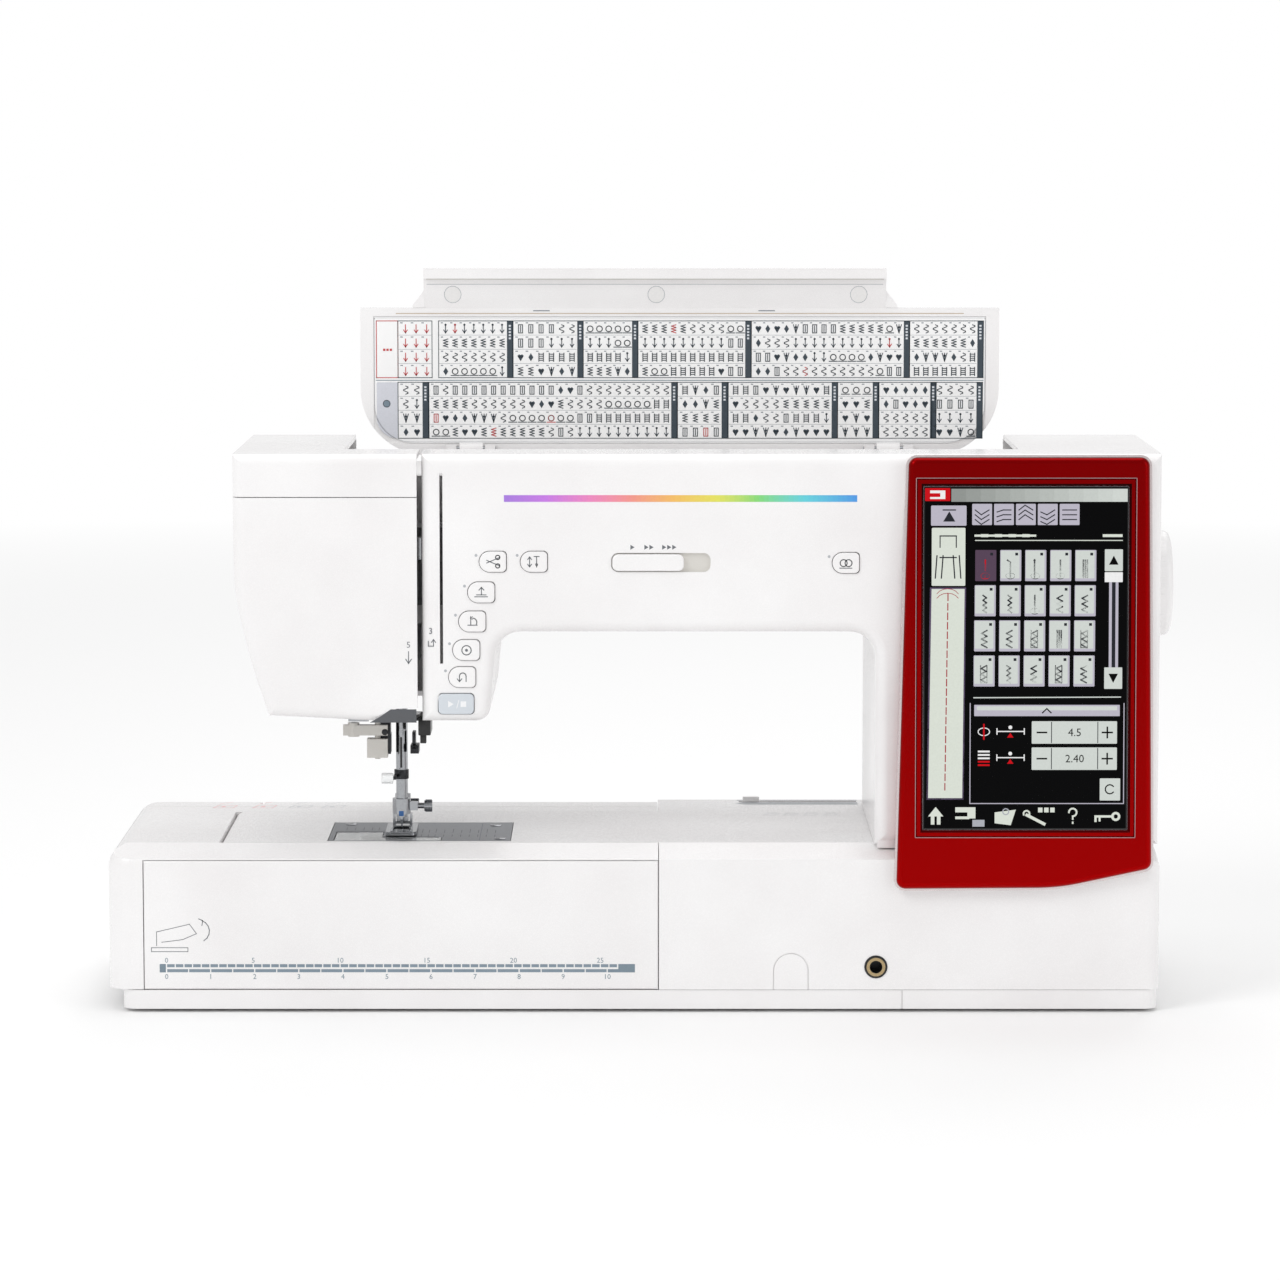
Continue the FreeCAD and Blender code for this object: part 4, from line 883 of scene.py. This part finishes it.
def makeRuler():
    segment = prism([(0.35, -0.9), (9.65, -0.9), (9.65, 0.9), (0.35, 0.9)], 0, 0.05, frontAt(0))
    longSegment = prism([(0.35, -0.9), (25.05, -0.9), (25.05, 0.9), (0.35, 0.9)], 0, 0.05, frontAt(0))
    notch = prism([(-0.3, -1), (0.3, -1), (0.3, 1), (-0.3, 1)], 0, 0.08, frontAt(0))
    zero, face, inch = ruler["zero"], ruler["face"], ruler["inchLong"]
    centimetres = [(zero + 10 * i, face, ruler["cmRow"]) for i in range(ruler["cm"] + 1)]
    repeat("rulerCentimetres", segment, centimetres, "rulerInk", "table_front")
    inches = [(zero + inch * i, face, ruler["inchRow"]) for i in range(ruler["inch"])]
    repeat("rulerInches", longSegment, inches, "rulerInk", "table_front")
    halves = [(x + 5, y, z) for x, y, z in centimetres] + [(x + inch / 2, y, z) for x, y, z in inches]
    repeat("rulerHalves", notch, halves, "white", "table_front")
    sheet = Sheet(frontAt(face))
    sheet.block(zero - 4, ruler["inchRow"] - 1, zero - 0.4, ruler["cmRow"] + 1, "ruler")
    sheet.block(zero + 260.4, ruler["inchRow"] - 1, zero + 270, ruler["cmRow"] + 1, "ruler")
    sheet.block(zero + 254.3, ruler["inchRow"] - 1, zero + 260.4, ruler["inchRow"] + 0.9, "ruler")
    for i in range(0, ruler["cm"] + 1, 5):
        sheet.number(str(i), zero + 10 * i, ruler["numberRow"], 4.2, "ruler")
    for i in range(ruler["inch"] + 1):
        sheet.number(str(i), zero + inch * i, ruler["inchRow"] - 3.6, 4.2, "ruler")
    sheet.make("rulerNumerals", "table_front")
    hand = Sheet(frontAt(face))
    hand.line([(-284, 35.5), (-263, 35.5), (-263, 37.8), (-284, 37.8), (-284, 35.5)], 0.4, "mark")
    hand.line([(-281, 39), (-281, 47), (-262, 51.5)], 0.4, "mark")
    hand.line([(-262, 51.5), (-258, 46), (-266, 42.5), (-278, 41)], 0.4, "mark")
    hand.ring(-257, 47.5, 6.5, 0.5, "mark", 1, -60, 70)
    hand.line([(-256.6, 54.6), (-254.3, 53.6), (-254.8, 50.8)], 0.5, "mark")
    hand.make("tableDoorPictogram", "table_front")


makeRuler()
print("ruler done")


# key symbols: each rides its own button and sits on the button's front

keys = {"tone": "mark", "line": 0.55}

# each symbol's strokes about the middle of its key: open lines, then arcs as (x, y, radius, start, end)
symbols = {
    "cutter": ("symbolCutter", [[(-3.4, -0.6), (3.6, 2.4)], [(-3.4, 0.9), (3.6, -2.1)]],
               [(2.9, 2.6, 1.2, 0, 360), (2.9, -2.3, 1.2, 0, 360)]),
    "needle": ("symbolNeedle", [[(-2.4, 2.6), (-2.4, -2.6)], [(-3.5, 1.4), (-2.4, 2.8), (-1.3, 1.4)],
                                [(-3.5, -1.4), (-2.4, -2.8), (-1.3, -1.4)],
                                [(1.6, 3.1), (1.6, -2.9)], [(0.2, 3.1), (3.0, 3.1)]], []),
    "lift": ("symbolLift", [[(-3.6, -2.4), (3.6, -2.4)], [(0.2, 2.9), (0.2, -1.3)],
                            [(-1.2, 1.5), (0.2, 3.0), (1.6, 1.5)], [(-2.6, -1.3), (2.8, -1.3)]], []),
    "pivot": ("symbolPivot", [[(-0.8, 2.9), (-0.8, -2.0)], [(-2.4, -2.0), (2.8, -2.0)]],
              [(0.2, -0.4, 2.5, -30, 90)]),
    "lock": ("symbolLock", [], [(0.2, 0, 2.7, 0, 360)]),
    "reverse": ("symbolReverse", [[(2.3, 0.7), (2.3, -2.3)], [(-1.5, 0.7), (-1.5, -1.8)],
                                  [(-2.8, -0.9), (-1.5, -2.4), (-0.2, -0.9)]],
                [(0.4, 0.7, 1.9, 0, 180)]),
    "start_stop": ("symbolStart", [], []),
    "tie": ("symbolTie", [[(-3.4, -2.9), (3.4, -2.9)]],
            [(-1.3, 0, 2.0, 0, 360), (1.5, 0, 2.0, 0, 360)]),
}


def keySheet(name):
    low, high = at("button_" + name)
    x, y, z = (low[0] + high[0]) / 2, low[1], (low[2] + high[2]) / 2
    return Sheet(lambda u, v, w: (x + u, y - w, z + v))


def addFills(sheet, name):
    # the few marks that aren't plain strokes
    if name == "needle":
        sheet.ring(1.6, -1.6, 0.6, 0.35, keys["tone"])
    elif name == "pivot":
        sheet.line([(0.2, 3.0), (-1.0, 2.1), (0.2, 1.2)], 0.4, keys["tone"])
    elif name == "lock":
        sheet.disc(0.2, 0, 0.85, keys["tone"])
    elif name == "start_stop":
        sheet.add([(-4.6, -1.9), (-1.4, 0), (-4.6, 1.9)], "white")
        sheet.line([(0.4, -2.2), (1.6, 2.2)], 0.4, "white")
        sheet.block(2.6, -1.6, 5.8, 1.6, "white")


def drawKeys():
    tone, wide = keys["tone"], keys["line"]
    for name, (piece, strokes, arcs) in symbols.items():
        sheet = keySheet(name)
        for stroke in strokes:
            sheet.line(stroke, wide, tone)
        for x, y, radius, start, end in arcs:
            sheet.ring(x, y, radius, wide, tone, 1, start, end)
        addFills(sheet, name)
        sheet.make(piece, "key_" + name)


drawKeys()
print("keys done")


# marks on the arm: guide lamps by the keys, speed arrows, threading arrows and the colour strip

marks = {"lampRadius": 0.85, "threadStep": (-122.8, 217.4), "stripLow": 294.4, "stripHigh": 298.3,
         "stripLeft": -80.5, "stripRight": 122.0, "stripFaces": 72}


def armMarks():
    sheet = Sheet(frontAt(armFront))
    for name in ("cutter", "needle", "lift", "pivot", "lock", "reverse", "tie"):
        low, high = at("button_" + name)
        sheet.disc(low[0] - 1.9, (low[2] + high[2]) / 2 + 3.6, marks["lampRadius"], "faint")
    for i, x in enumerate((-8.0, 0.0, 10.2)):
        for k in range(i + 1):
            left = x + k * 2.9
            sheet.add([(left, 266.9), (left + 2.4, 268.3), (left, 269.7)], "mark")
    x, z = marks["threadStep"]
    sheet.number("3", x, z + 2.4, 5.0, "mark")
    sheet.line([(x - 1.4, z - 3.4), (x - 1.4, z - 6.2), (x + 1.6, z - 6.2), (x + 1.6, z - 3.0)], 0.5,
               "mark")
    sheet.line([(x + 0.4, z - 4.0), (x + 1.6, z - 2.4), (x + 2.8, z - 4.0)], 0.5, "mark")
    sheet.make("armPrint", "machine")
    door = Sheet(frontAt(at("face_cover")[0][1]))
    door.number("5", -135.6, 211.8, 5.0, "mark")
    door.line([(-135.6, 208.0), (-135.6, 201.6)], 0.55, "mark")
    door.line([(-137.2, 203.6), (-135.6, 201.2), (-134.0, 203.6)], 0.55, "mark")
    door.make("threadArrow", "face_door")


def colourStrip():
    # the strip's colour runs along its length in the ink attribute, one face at a time
    stops = [(0.0, "A87CE0"), (0.12, "C97AE6"), (0.24, "EE86C2"), (0.36, "F5968C"), (0.48, "F6BE62"),
             (0.6, "E8E45C"), (0.72, "84DC78"), (0.85, "64D4E0"), (1.0, "4C9AE8")]
    sheet = Sheet(frontAt(armFront))
    count, left, right = marks["stripFaces"], marks["stripLeft"], marks["stripRight"]
    for i in range(count):
        share = (i + 0.5) / count
        after = next(k for k in range(1, len(stops)) if share <= stops[k][0])
        (s0, c0), (s1, c1) = stops[after - 1], stops[after]
        blend = (share - s0) / (s1 - s0)
        a, b = linear(c0), linear(c1)
        colour = tuple(a[k] + (b[k] - a[k]) * blend for k in range(3)) + (1.0,)
        x0, x1 = (left + (right - left) * e / count for e in (i, i + 1))
        sheet.add([(x0, marks["stripLow"]), (x1, marks["stripLow"]), (x1, marks["stripHigh"]),
                   (x0, marks["stripHigh"])], colour)
    sheet.make("colourStrip", "machine")


armMarks()
colourStrip()


# the sunk plate behind the speed knob: pale beige, with a fine dark rim

def speedPlate():
    verts, faces = prism(roundedOutline(-20.4, 252.6, 39.4, 266.4, 6.6, 6), 0, 0.5,
                         frontAt(armFront + 2.4))
    finish("speedPlate", verts, faces, "warmGrey", "machine")


speedPlate()
print("marks done")


# where a CAD surface lies, found by looking at it

def reach(node, start, way):
    # the first place on a CAD node seen from start along way, in millimetres, or nothing
    thing = nodes[node]
    back = thing.matrix_world.inverted()
    hit, place, normal, face = thing.ray_cast(back @ (Vector(start) * mm), back.to_3x3() @ Vector(way))
    return thing.matrix_world @ place / mm if hit else None


def frontOf(node, x, z):
    found = reach(node, (x, -300, z), (0, 1, 0))
    return found.y if found else None


def solidPiece(name, solids, material, body, smoothAngle=35, bevel=0.0):
    verts, faces = join(*solids)
    return orient(finish(name, verts, faces, material, body, smoothAngle=smoothAngle, bevel=bevel))


# the lid's lip: a grey band of painted shade, three shallow thumb marks drawn in painted shade, and two
# fine lines: one of painted shade along a crease, one tan in the gap under the lip as its painted shadow

lip = {"band": (415.2, 421.4), "line": 412.4, "dimples": (-115.5, 7.3, 129.5), "dimpleHeight": 406.2,
       "radius": 5.1, "tanLine": (394.4, 395.0), "latches": (-62.0, 74.0)}


def slantSheet(node, x0, x1, low, high):
    # a sheet that lies on the slanting front face of a node between two heights
    yLow, yHigh = frontOf(node, (x0 + x1) / 2, low), frontOf(node, (x0 + x1) / 2, high)
    slope = (yHigh - yLow) / (high - low)
    tilt = math.atan(slope)

    def onSlope(u, v, w):
        return u, yLow + slope * (v - low) - w * math.cos(tilt), v + w * math.sin(tilt)

    return Sheet(onSlope)


def dressLip():
    sheet = slantSheet("lid", -100, 110, 402.0, 412.0)
    for x in lip["dimples"]:
        # painted shade: each shallow thumb mark is a darker ring round a pale disc
        sheet.ring(x, lip["dimpleHeight"], lip["radius"], 0.35, "faint", 1)
        sheet.disc(x, lip["dimpleHeight"], lip["radius"] - 0.3, "lipDimple", 1, 28)
    # painted shade along the crease between the grey band and the face below it
    sheet.line([(-131, lip["line"]), (144, lip["line"])], 0.35, "faint", 1)
    sheet.make("lipMarks", "lid_body")


def dressBand():
    low, high = lip["band"]
    sheet = slantSheet("lid", -100, 110, low, high)
    # painted shade: the band is grey because its face leans down, away from the light
    sheet.block(-131.5, low, 144.5, high, "lipGrey", 1)
    sheet.make("lipBand", "lid_body")
    # the tan line marks the real gap under the lip and is tinted as its painted shadow
    lineLow, lineHigh = lip["tanLine"]
    line = Sheet(frontAt(frontOf("lid", 100, lineHigh)))
    line.block(-150, lineLow, 193, lineHigh, "tan", 1)
    for x in lip["latches"]:
        line.block(x - 5, 396.0, x + 5, 396.7, "grey", 1)
    line.make("lidLine", "lid_body")


dressLip()
dressBand()
print("lid done")


# needle area: guide plate, brackets, threader linkage, clamp and foot details

needle = {"x": -142.5, "y": -30.0, "clampHeight": 111.0, "knurls": 22, "plateTop": 95.0,
          "toothStep": 1.3, "screws": ((-88, -2), (-174, 2), (-84, -54)), "screwTurns": (30, 75, -20)}


def dressNeedle():
    x, y = needle["x"], needle["y"]
    inset = Sheet(frontAt(at("face_cover")[0][1]))
    inset.add([(-158.2, 166.9), (-152, 170.4), (-146, 174.6), (-131.2, 174.6), (-131.2, 166.9)],
              "inset", 4)
    inset.make("headInset", "face_door")
    solidPiece("headGuidePlate", [boxSolid((-154, -44, 163.0), (-131, -8, 164.2)),
                                  boxSolid((-172.4, -50, 163.4), (-160.6, -22, 165.8))],
               "steel", "machine", bevel=0.2)
    solidPiece("headBracket", [boxSolid((-131.6, -52, 155.4), (-124.4, -26, 166.0)),
                               boxSolid((-130.6, -50, 150.5), (-127.0, -46, 156.0))],
               "black", "machine", bevel=0.5)
    linkage = [boxSolid((-154.4, -37.6, 146), (-148.6, -26.0, 161.5)),
               boxSolid((-150.5, -36.0, 142.4), (-148.4, -24.0, 154.0)),
               roundSolid((-151.6, -38.6, 156.0), (0, -1, 0), [(0, 2.1), (2.2, 2.1), (2.8, 1.4)], 20),
               roundSolid((-151.6, -38.6, 148.5), (0, -1, 0), [(0, 1.5), (2.0, 1.5), (2.4, 0.9)], 20)]
    solidPiece("threaderLinkage", linkage, "darkSteel", "threader", bevel=0.25)
    guide = [boxSolid((-137.0, -36, 142.6), (-132.0, -22, 147.4)),
             boxSolid((-136.0, -34, 147.4), (-134.0, -24, 155.0)),
             roundSolid((-134.6, -36, 145.0), (0, -1, 0), [(0, 1.5), (1.8, 1.5), (2.2, 1.0)], 20)]
    solidPiece("barSideGuide", guide, "darkSteel", "needle_slide", bevel=0.25)
    solidPiece("threadEyeletPlate", [boxSolid((-153.4, -45.2, 126.2), (-146.6, -44.0, 132.4))],
               "clear", "needle_slide", bevel=0.3)
    collar = roundSolid((x, y, 127.2), (0, 0, 1), [(0, 4.3), (5.4, 4.3)], 28)
    solidPiece("eyeletArm", [boxSolid((-146.8, -45.0, 128.4), (-144.8, -33.4, 130.2)), collar],
               "darkSteel", "needle_slide", bevel=0.2)
    solidPiece("clampBlueMark", [boxSolid((-143.9, -35.8, 105.6), (-141.1, -34.8, 108.6))],
               "blueMark", "needle_slide", bevel=0.2)
    solidPiece("needleBarGroove", [boxSolid((-143.1, -33.45, 134), (-141.9, -33.1, 152))],
               "black", "needle_slide")
    rib = prism(roundedOutline(-0.16, -0.35, 0.16, 0.35, 0.1, 2), 0, 3.6, alongX)
    places, spins = aroundX((-128.4, y, needle["clampHeight"]), 3.35, needle["knurls"])
    repeat("clampScrewKnurl", rib, places, "steel", "needle_slide", spins)
    rails = [boxSolid((-148.6, -45.4, 97.6), (-147.0, -20, 98.6)),
             boxSolid((-138.0, -45.4, 97.6), (-136.4, -20, 98.6))]
    solidPiece("footRails", rails, "steel", "foot", bevel=0.2)
    screw = roundSolid((-137.9, -15, 110.4), (1, 0, 0), [(0, 2.9), (4.6, 2.9), (5.0, 2.5)], 24)
    solidPiece("ankleScrew", [screw], "steel", "presser")


def feedTeeth():
    tooth = ([(-0.8, -0.55, 0), (0.8, -0.55, 0), (0.8, 0.55, 0), (-0.8, 0.55, 0), (-0.8, 0.3, 0.5),
              (0.8, 0.3, 0.5)],
             [(0, 3, 2, 1), (0, 1, 5, 4), (3, 4, 5, 2), (0, 4, 3), (1, 2, 5)])
    top = at("feed_dogs")[1][2] - 0.1
    places = [(needle["x"] + dx, -24.6 + needle["toothStep"] * i, top)
              for dx in (-7, 0, 7) for i in range(15)]
    repeat("feedTeeth", tooth, places, "machined", "feed")


def plateMarks():
    x, top = needle["x"], needle["plateTop"]
    sheet = Sheet(topAt(top))
    for k, dx in enumerate((12, 16, 20, 25, 30, 35, 40, 45, 50, 55)):
        sheet.line([(x + dx, -30.5), (x + dx, -20 if k % 2 else -16)], 0.3, "black")
        sheet.line([(x + dx, -46), (x + dx, -38)], 0.3, "black")
    for dx in (-14, -18, -23, -28, -33):
        sheet.line([(x + dx, -20), (x + dx, -10)], 0.3, "black")
    sheet.line([(-96, -60), (-96, 6)], 0.25, "slate")
    sheet.line([(-181, -23.5), (-152, -23.5)], 0.25, "slate")
    sheet.make("needlePlateMarks", "machine")
    head = roundSolid((0, 0, 0), (0, 0, 1), [(0, 3.4), (0.35, 3.4), (0.6, 3.0)], 24)
    repeat("needlePlateScrews", head, [(sx, sy, top - 0.1) for sx, sy in needle["screws"]], "steel",
           "machine")
    slot = boxSolid((-2.4, -0.35, 0), (2.4, 0.35, 0.05))
    repeat("needlePlateScrewSlots", slot, [(sx, sy, top + 0.5) for sx, sy in needle["screws"]],
           "black", "machine", [(0, 0, turn) for turn in needle["screwTurns"]])


dressNeedle()
feedTeeth()
plateMarks()
print("needle area done")


# bed and table: cover strip, printed marks, lamp clips, socket rings, handwheel ribs

bed = {"clip": 12.5, "socket": (133.5, 26.6), "socketRadii": (5.4, 3.7)}


def bedDetails():
    sheet = Sheet(topAt(bedTop))
    sheet.add([(56, 88), (62, 83.5), (130.5, 83.5), (130.5, 94.6), (60, 94.6)], "strip")
    sheet.block(57, 100.4, 130.5, 103.6, "strip")
    sheet.line([(62, 89), (128, 89)], 0.4, "mark", 2)
    for x in (72, 84, 96, 108):
        sheet.line([(x, 40), (x + 7, 40), (x + 9, 46), (x + 2, 46), (x, 40)], 0.5, "faint")
        sheet.line([(x + 2, 50), (x + 8, 50)], 0.4, "faint")
    sheet.make("bedMarks", "machine")
    table = Sheet(topAt(at("table_frame")[1][2]))
    for k, x in enumerate((-262, -238, -216, -196)):
        tone = "pink" if k < 2 else "faint"
        table.line([(x, 70), (x + 12, 70), (x + 14, 80), (x + 3, 82), (x, 70)], 0.6, tone)
        table.line([(x + 3, 88), (x + 10, 94)], 0.6, tone)
        table.disc(x + 6, 75, 1.5, tone, 2)
    table.make("tableMarks", "table")
    lampLow, lampHigh = at("arm_lamp")
    clips = [boxSolid((x, lampLow[1] + 1, lampLow[2] - 0.6),
                      (x + bed["clip"], lampHigh[1] - 1, lampLow[2] + 0.2))
             for x in (lampLow[0], lampHigh[0] - bed["clip"])]
    solidPiece("lampClips", clips, "warmGrey", "machine", bevel=0.3)
    (x, z), y = bed["socket"], at("knee_lifter_socket")[0][1]
    turns = [math.pi * i / 24 for i in range(48)]
    outer, inner = ([(x + r * math.cos(a), z + r * math.sin(a)) for a in turns]
                    for r in bed["socketRadii"])
    verts, faces = ringSolid([(outer, 0.02), (outer, 0.25), (inner, 0.25), (inner, 0.02)], frontAt(y))
    orient(finish("socketRing", verts, faces, "brass", "machine", smoothAngle=30))


def wheelRibs():
    low, high = at("handwheel")
    radius = (high[1] - low[1]) / 2
    centre = (low[0] + 3.2, (low[1] + high[1]) / 2, (low[2] + high[2]) / 2)
    rib = prism(roundedOutline(-0.5, -0.45, 0.5, 0.3, 0.3, 3), 0, 7.5, alongX)
    places, spins = aroundX(centre, radius - 0.25, 60)
    repeat("handwheelRibs", rib, places, "white", "drive", spins)


def columnFoot():
    # closes the room under the column's front edge beside the screen
    solidPiece("columnFoot", [boxSolid((134.5, -80.5, 93.6), (146.0, -62.0, 98.6))], "white",
               "machine", bevel=0.4)


def lipEnds():
    # the lip flares out where it meets the lid
    y = frontOf("lid", -130, 402.0)
    for name, side, x in (("lipEndLeft", -1, -132.6), ("lipEndRight", 1, 145.6)):
        flare = [(x, 398.2), (x + side * 7.5, 398.2), (x + side * 7.0, 400.2),
                 (x + side * 1.2, 407.5), (x, 409.5)]
        verts, faces = prism(flare, 0, 3.0, frontAt(y + 3.2))
        orient(finish(name, verts, faces, "white", "lid_body"))


bedDetails()
wheelRibs()
columnFoot()
lipEnds()
print("bed and wheel done")


# back and top: vents, printed panels and lines, thread path parts

rear = {"bodyVents": (180, 222, 264), "headVents": (-200, -168), "bodyPitch": 6, "headPitch": 5}


def backOf(node, x, z):
    found = reach(node, (x, 300, z), (0, -1, 0))
    return found.y if found else None


def backDetails():
    y = backOf("rear_cover", 210, 200)
    slot = boxSolid((-14, -0.15, -1.1), (14, 0.25, 1.1))
    places = [(x, y, 170 + rear["bodyPitch"] * i) for x in rear["bodyVents"] for i in range(8)]
    repeat("rearVents", slot, places, "black", "machine")
    headSlot = boxSolid((-11, -0.15, -0.9), (11, 0.25, 0.9))
    places = [(x, y, 262 + rear["headPitch"] * i) for x in rear["headVents"] for i in range(5)]
    repeat("rearHeadVents", headSlot, places, "black", "machine")
    sheet = Sheet(lambda u, v, w: (u, y + w, v))
    sheet.block(178, 118, 262, 146, "pale", 1, 3)
    for i in range(5):
        sheet.block(184, 122 + 4.4 * i, 184 + (52 if i % 2 else 40), 123.4 + 4.4 * i, "faint", 2)
    for x in (-60, -20, 20, 60):
        sheet.line([(x - 0.2, 232), (x - 0.2, 296)], 0.3, "faint", 1)
    sheet.line([(-120, 232), (120, 232)], 0.35, "faint", 1)
    sheet.make("rearPanelPrint", "machine")
    rightX = at("rear_cover")[1][0]
    side = Sheet(lambda u, v, w: (rightX + w, u, v))
    side.line([(-4.9, 110), (-4.9, 205)], 0.35, "mark", 1)
    side.block(28, 100, 60, 104, "pale", 1, 1)
    side.line([(31, 102), (52, 102)], 0.5, "mark", 2)
    side.make("sidePrint", "machine")


def deckDetails():
    # low thread guides behind the closed lid's lip
    pin = roundSolid((-66.4, 8, 306), (0, 0, 1), [(0, 2.6), (9.2, 2.6), (10.0, 1.8)], 20)
    solidPiece("deckPin", [pin], "steel", "machine")
    solidPiece("deckPinPlate", [boxSolid((-66, 4, 306), (-54, 14, 309.6))], "darkGrey", "machine",
               bevel=0.6)
    solidPiece("deckThreadGuide", [boxSolid((-112, 0, 308), (-90, 3.6, 316.4)),
                                   boxSolid((-112, 0, 306), (-90, 14, 308))],
               "clear", "machine", bevel=0.6)


spring = {"centre": (207.0, 40.0, 306.2), "radius": 2.9, "wire": 0.55, "turns": 5, "tall": 8.6,
          "sides": 8, "stepsPerTurn": 16}


def woundSpring():
    # a short coiled thread-guide spring, drawn as a closed tube along a helix
    centre, radius, wire, sides = spring["centre"], spring["radius"], spring["wire"], spring["sides"]
    verts, faces = [], []
    steps = spring["turns"] * spring["stepsPerTurn"]
    for i in range(steps + 1):
        turn = 2 * math.pi * i / spring["stepsPerTurn"]
        rise = spring["tall"] * i / steps
        for k in range(sides):
            a = 2 * math.pi * k / sides
            out = radius + wire * math.cos(a)
            verts.append((centre[0] + out * math.cos(turn), centre[1] + out * math.sin(turn),
                          centre[2] + rise + wire * math.sin(a) + wire))
    for i in range(steps):
        for k in range(sides):
            a, b = i * sides + k, i * sides + (k + 1) % sides
            faces.append((a, b, b + sides, a + sides))
    faces.append(tuple(reversed(range(sides))))
    faces.append(tuple(range(steps * sides, (steps + 1) * sides)))
    orient(finish("guideSpring", verts, faces, "steel", "machine", smoothAngle=60))


backDetails()
deckDetails()
woundSpring()
print("back and deck done")


# stage, light and camera, in metres

stage = {"half": 14.0, "near": 0.9, "far": 3.2, "aim": (0, 0, 0.2), "seenWorld": 1.0, "worldLight": 0.62}


def makeStage():
    # a pale floor that turns to plain white away from the machine, so it has no far edge
    half = stage["half"]
    mesh = bpy.data.meshes.new("floor")
    mesh.from_pydata([(-half, -half, 0), (half, -half, 0), (half, half, 0), (-half, half, 0)], [],
                     [(0, 1, 2, 3)])
    floor = bpy.data.objects.new("floor", mesh)
    bpy.context.scene.collection.objects.link(floor)
    made, tree, surface, place = newMaterial("whitePaperFloor", {"Roughness": 0.9})
    fibre = addNode(tree, "ShaderNodeTexNoise", {"Scale": 900.0, "Detail": 2.0}, {"Vector": place})
    paper = ramp(tree, fibre.outputs["Fac"], [(0.3, linear("FAFAFA")), (0.7, linear("FDFDFD"))])
    tree.links.new(paper, surface.inputs["Base Color"])
    far = addNode(tree, "ShaderNodeVectorMath", {"operation": "LENGTH"}, {0: place})
    fade = addNode(tree, "ShaderNodeMapRange", {"From Min": stage["near"], "From Max": stage["far"]},
                   {"Value": far.outputs["Value"]})
    white = addNode(tree, "ShaderNodeEmission", {"Color": linear("FFFFFF"), "Strength": 1.0})
    blended = addNode(tree, "ShaderNodeMixShader", links={0: fade.outputs[0], 1: surface.outputs[0],
                                                          2: white.outputs[0]})
    output = next(node for node in tree.nodes if node.type == "OUTPUT_MATERIAL")
    tree.links.new(blended.outputs[0], output.inputs["Surface"])
    floor.data.materials.append(made)


def addLight(name, place, size, power):
    # a square white softbox that faces the machine
    data = bpy.data.lights.new(name, "AREA")
    data.shape = "SQUARE"
    data.size, data.energy = size, power
    lamp = bpy.data.objects.new(name, data)
    bpy.context.scene.collection.objects.link(lamp)
    lamp.location = place
    lamp.rotation_euler = (Vector(stage["aim"]) - Vector(place)).to_track_quat("-Z", "Y").to_euler()


def makeWorld():
    # plain white all round, weaker as light than as the backdrop that is seen
    world = bpy.data.worlds.new("studio")
    world.use_nodes = True
    background = world.node_tree.nodes["Background"]
    background.inputs["Color"].default_value = linear("FFFFFF")
    seen = addNode(world.node_tree, "ShaderNodeLightPath")
    strength = addNode(world.node_tree, "ShaderNodeMapRange",
                       {"To Min": stage["worldLight"], "To Max": stage["seenWorld"]},
                       {"Value": seen.outputs["Is Camera Ray"]})
    world.node_tree.links.new(strength.outputs[0], background.inputs["Strength"])
    bpy.context.scene.world = world


def makeCamera():
    # a long lens from the front, a little above the bed
    view = {"lens": 139.2, "place": (-0.0025, -2.9093, 0.5319), "down": 6.4}
    data = bpy.data.cameras.new("camera")
    data.lens, data.sensor_width = view["lens"], 36.0
    data.clip_end = 50
    camera = bpy.data.objects.new("camera", data)
    bpy.context.scene.collection.objects.link(camera)
    camera.location = view["place"]
    camera.rotation_euler = (math.radians(90 - view["down"]), 0, 0)
    bpy.context.scene.camera = camera


makeStage()
addLight("keySoftbox", (-1.5, -1.7, 2.0), 1.2, 20)
addLight("fillSoftbox", (1.9, -1.5, 1.0), 1.4, 7)
addLight("topSoftbox", (0, 0.1, 2.4), 1.6, 13)
addLight("rearSoftbox", (0.4, 1.9, 1.8), 1.6, 10)
makeWorld()
bpy.context.scene.view_settings.view_transform = "Standard"
makeCamera()
print("stage, light and camera placed")
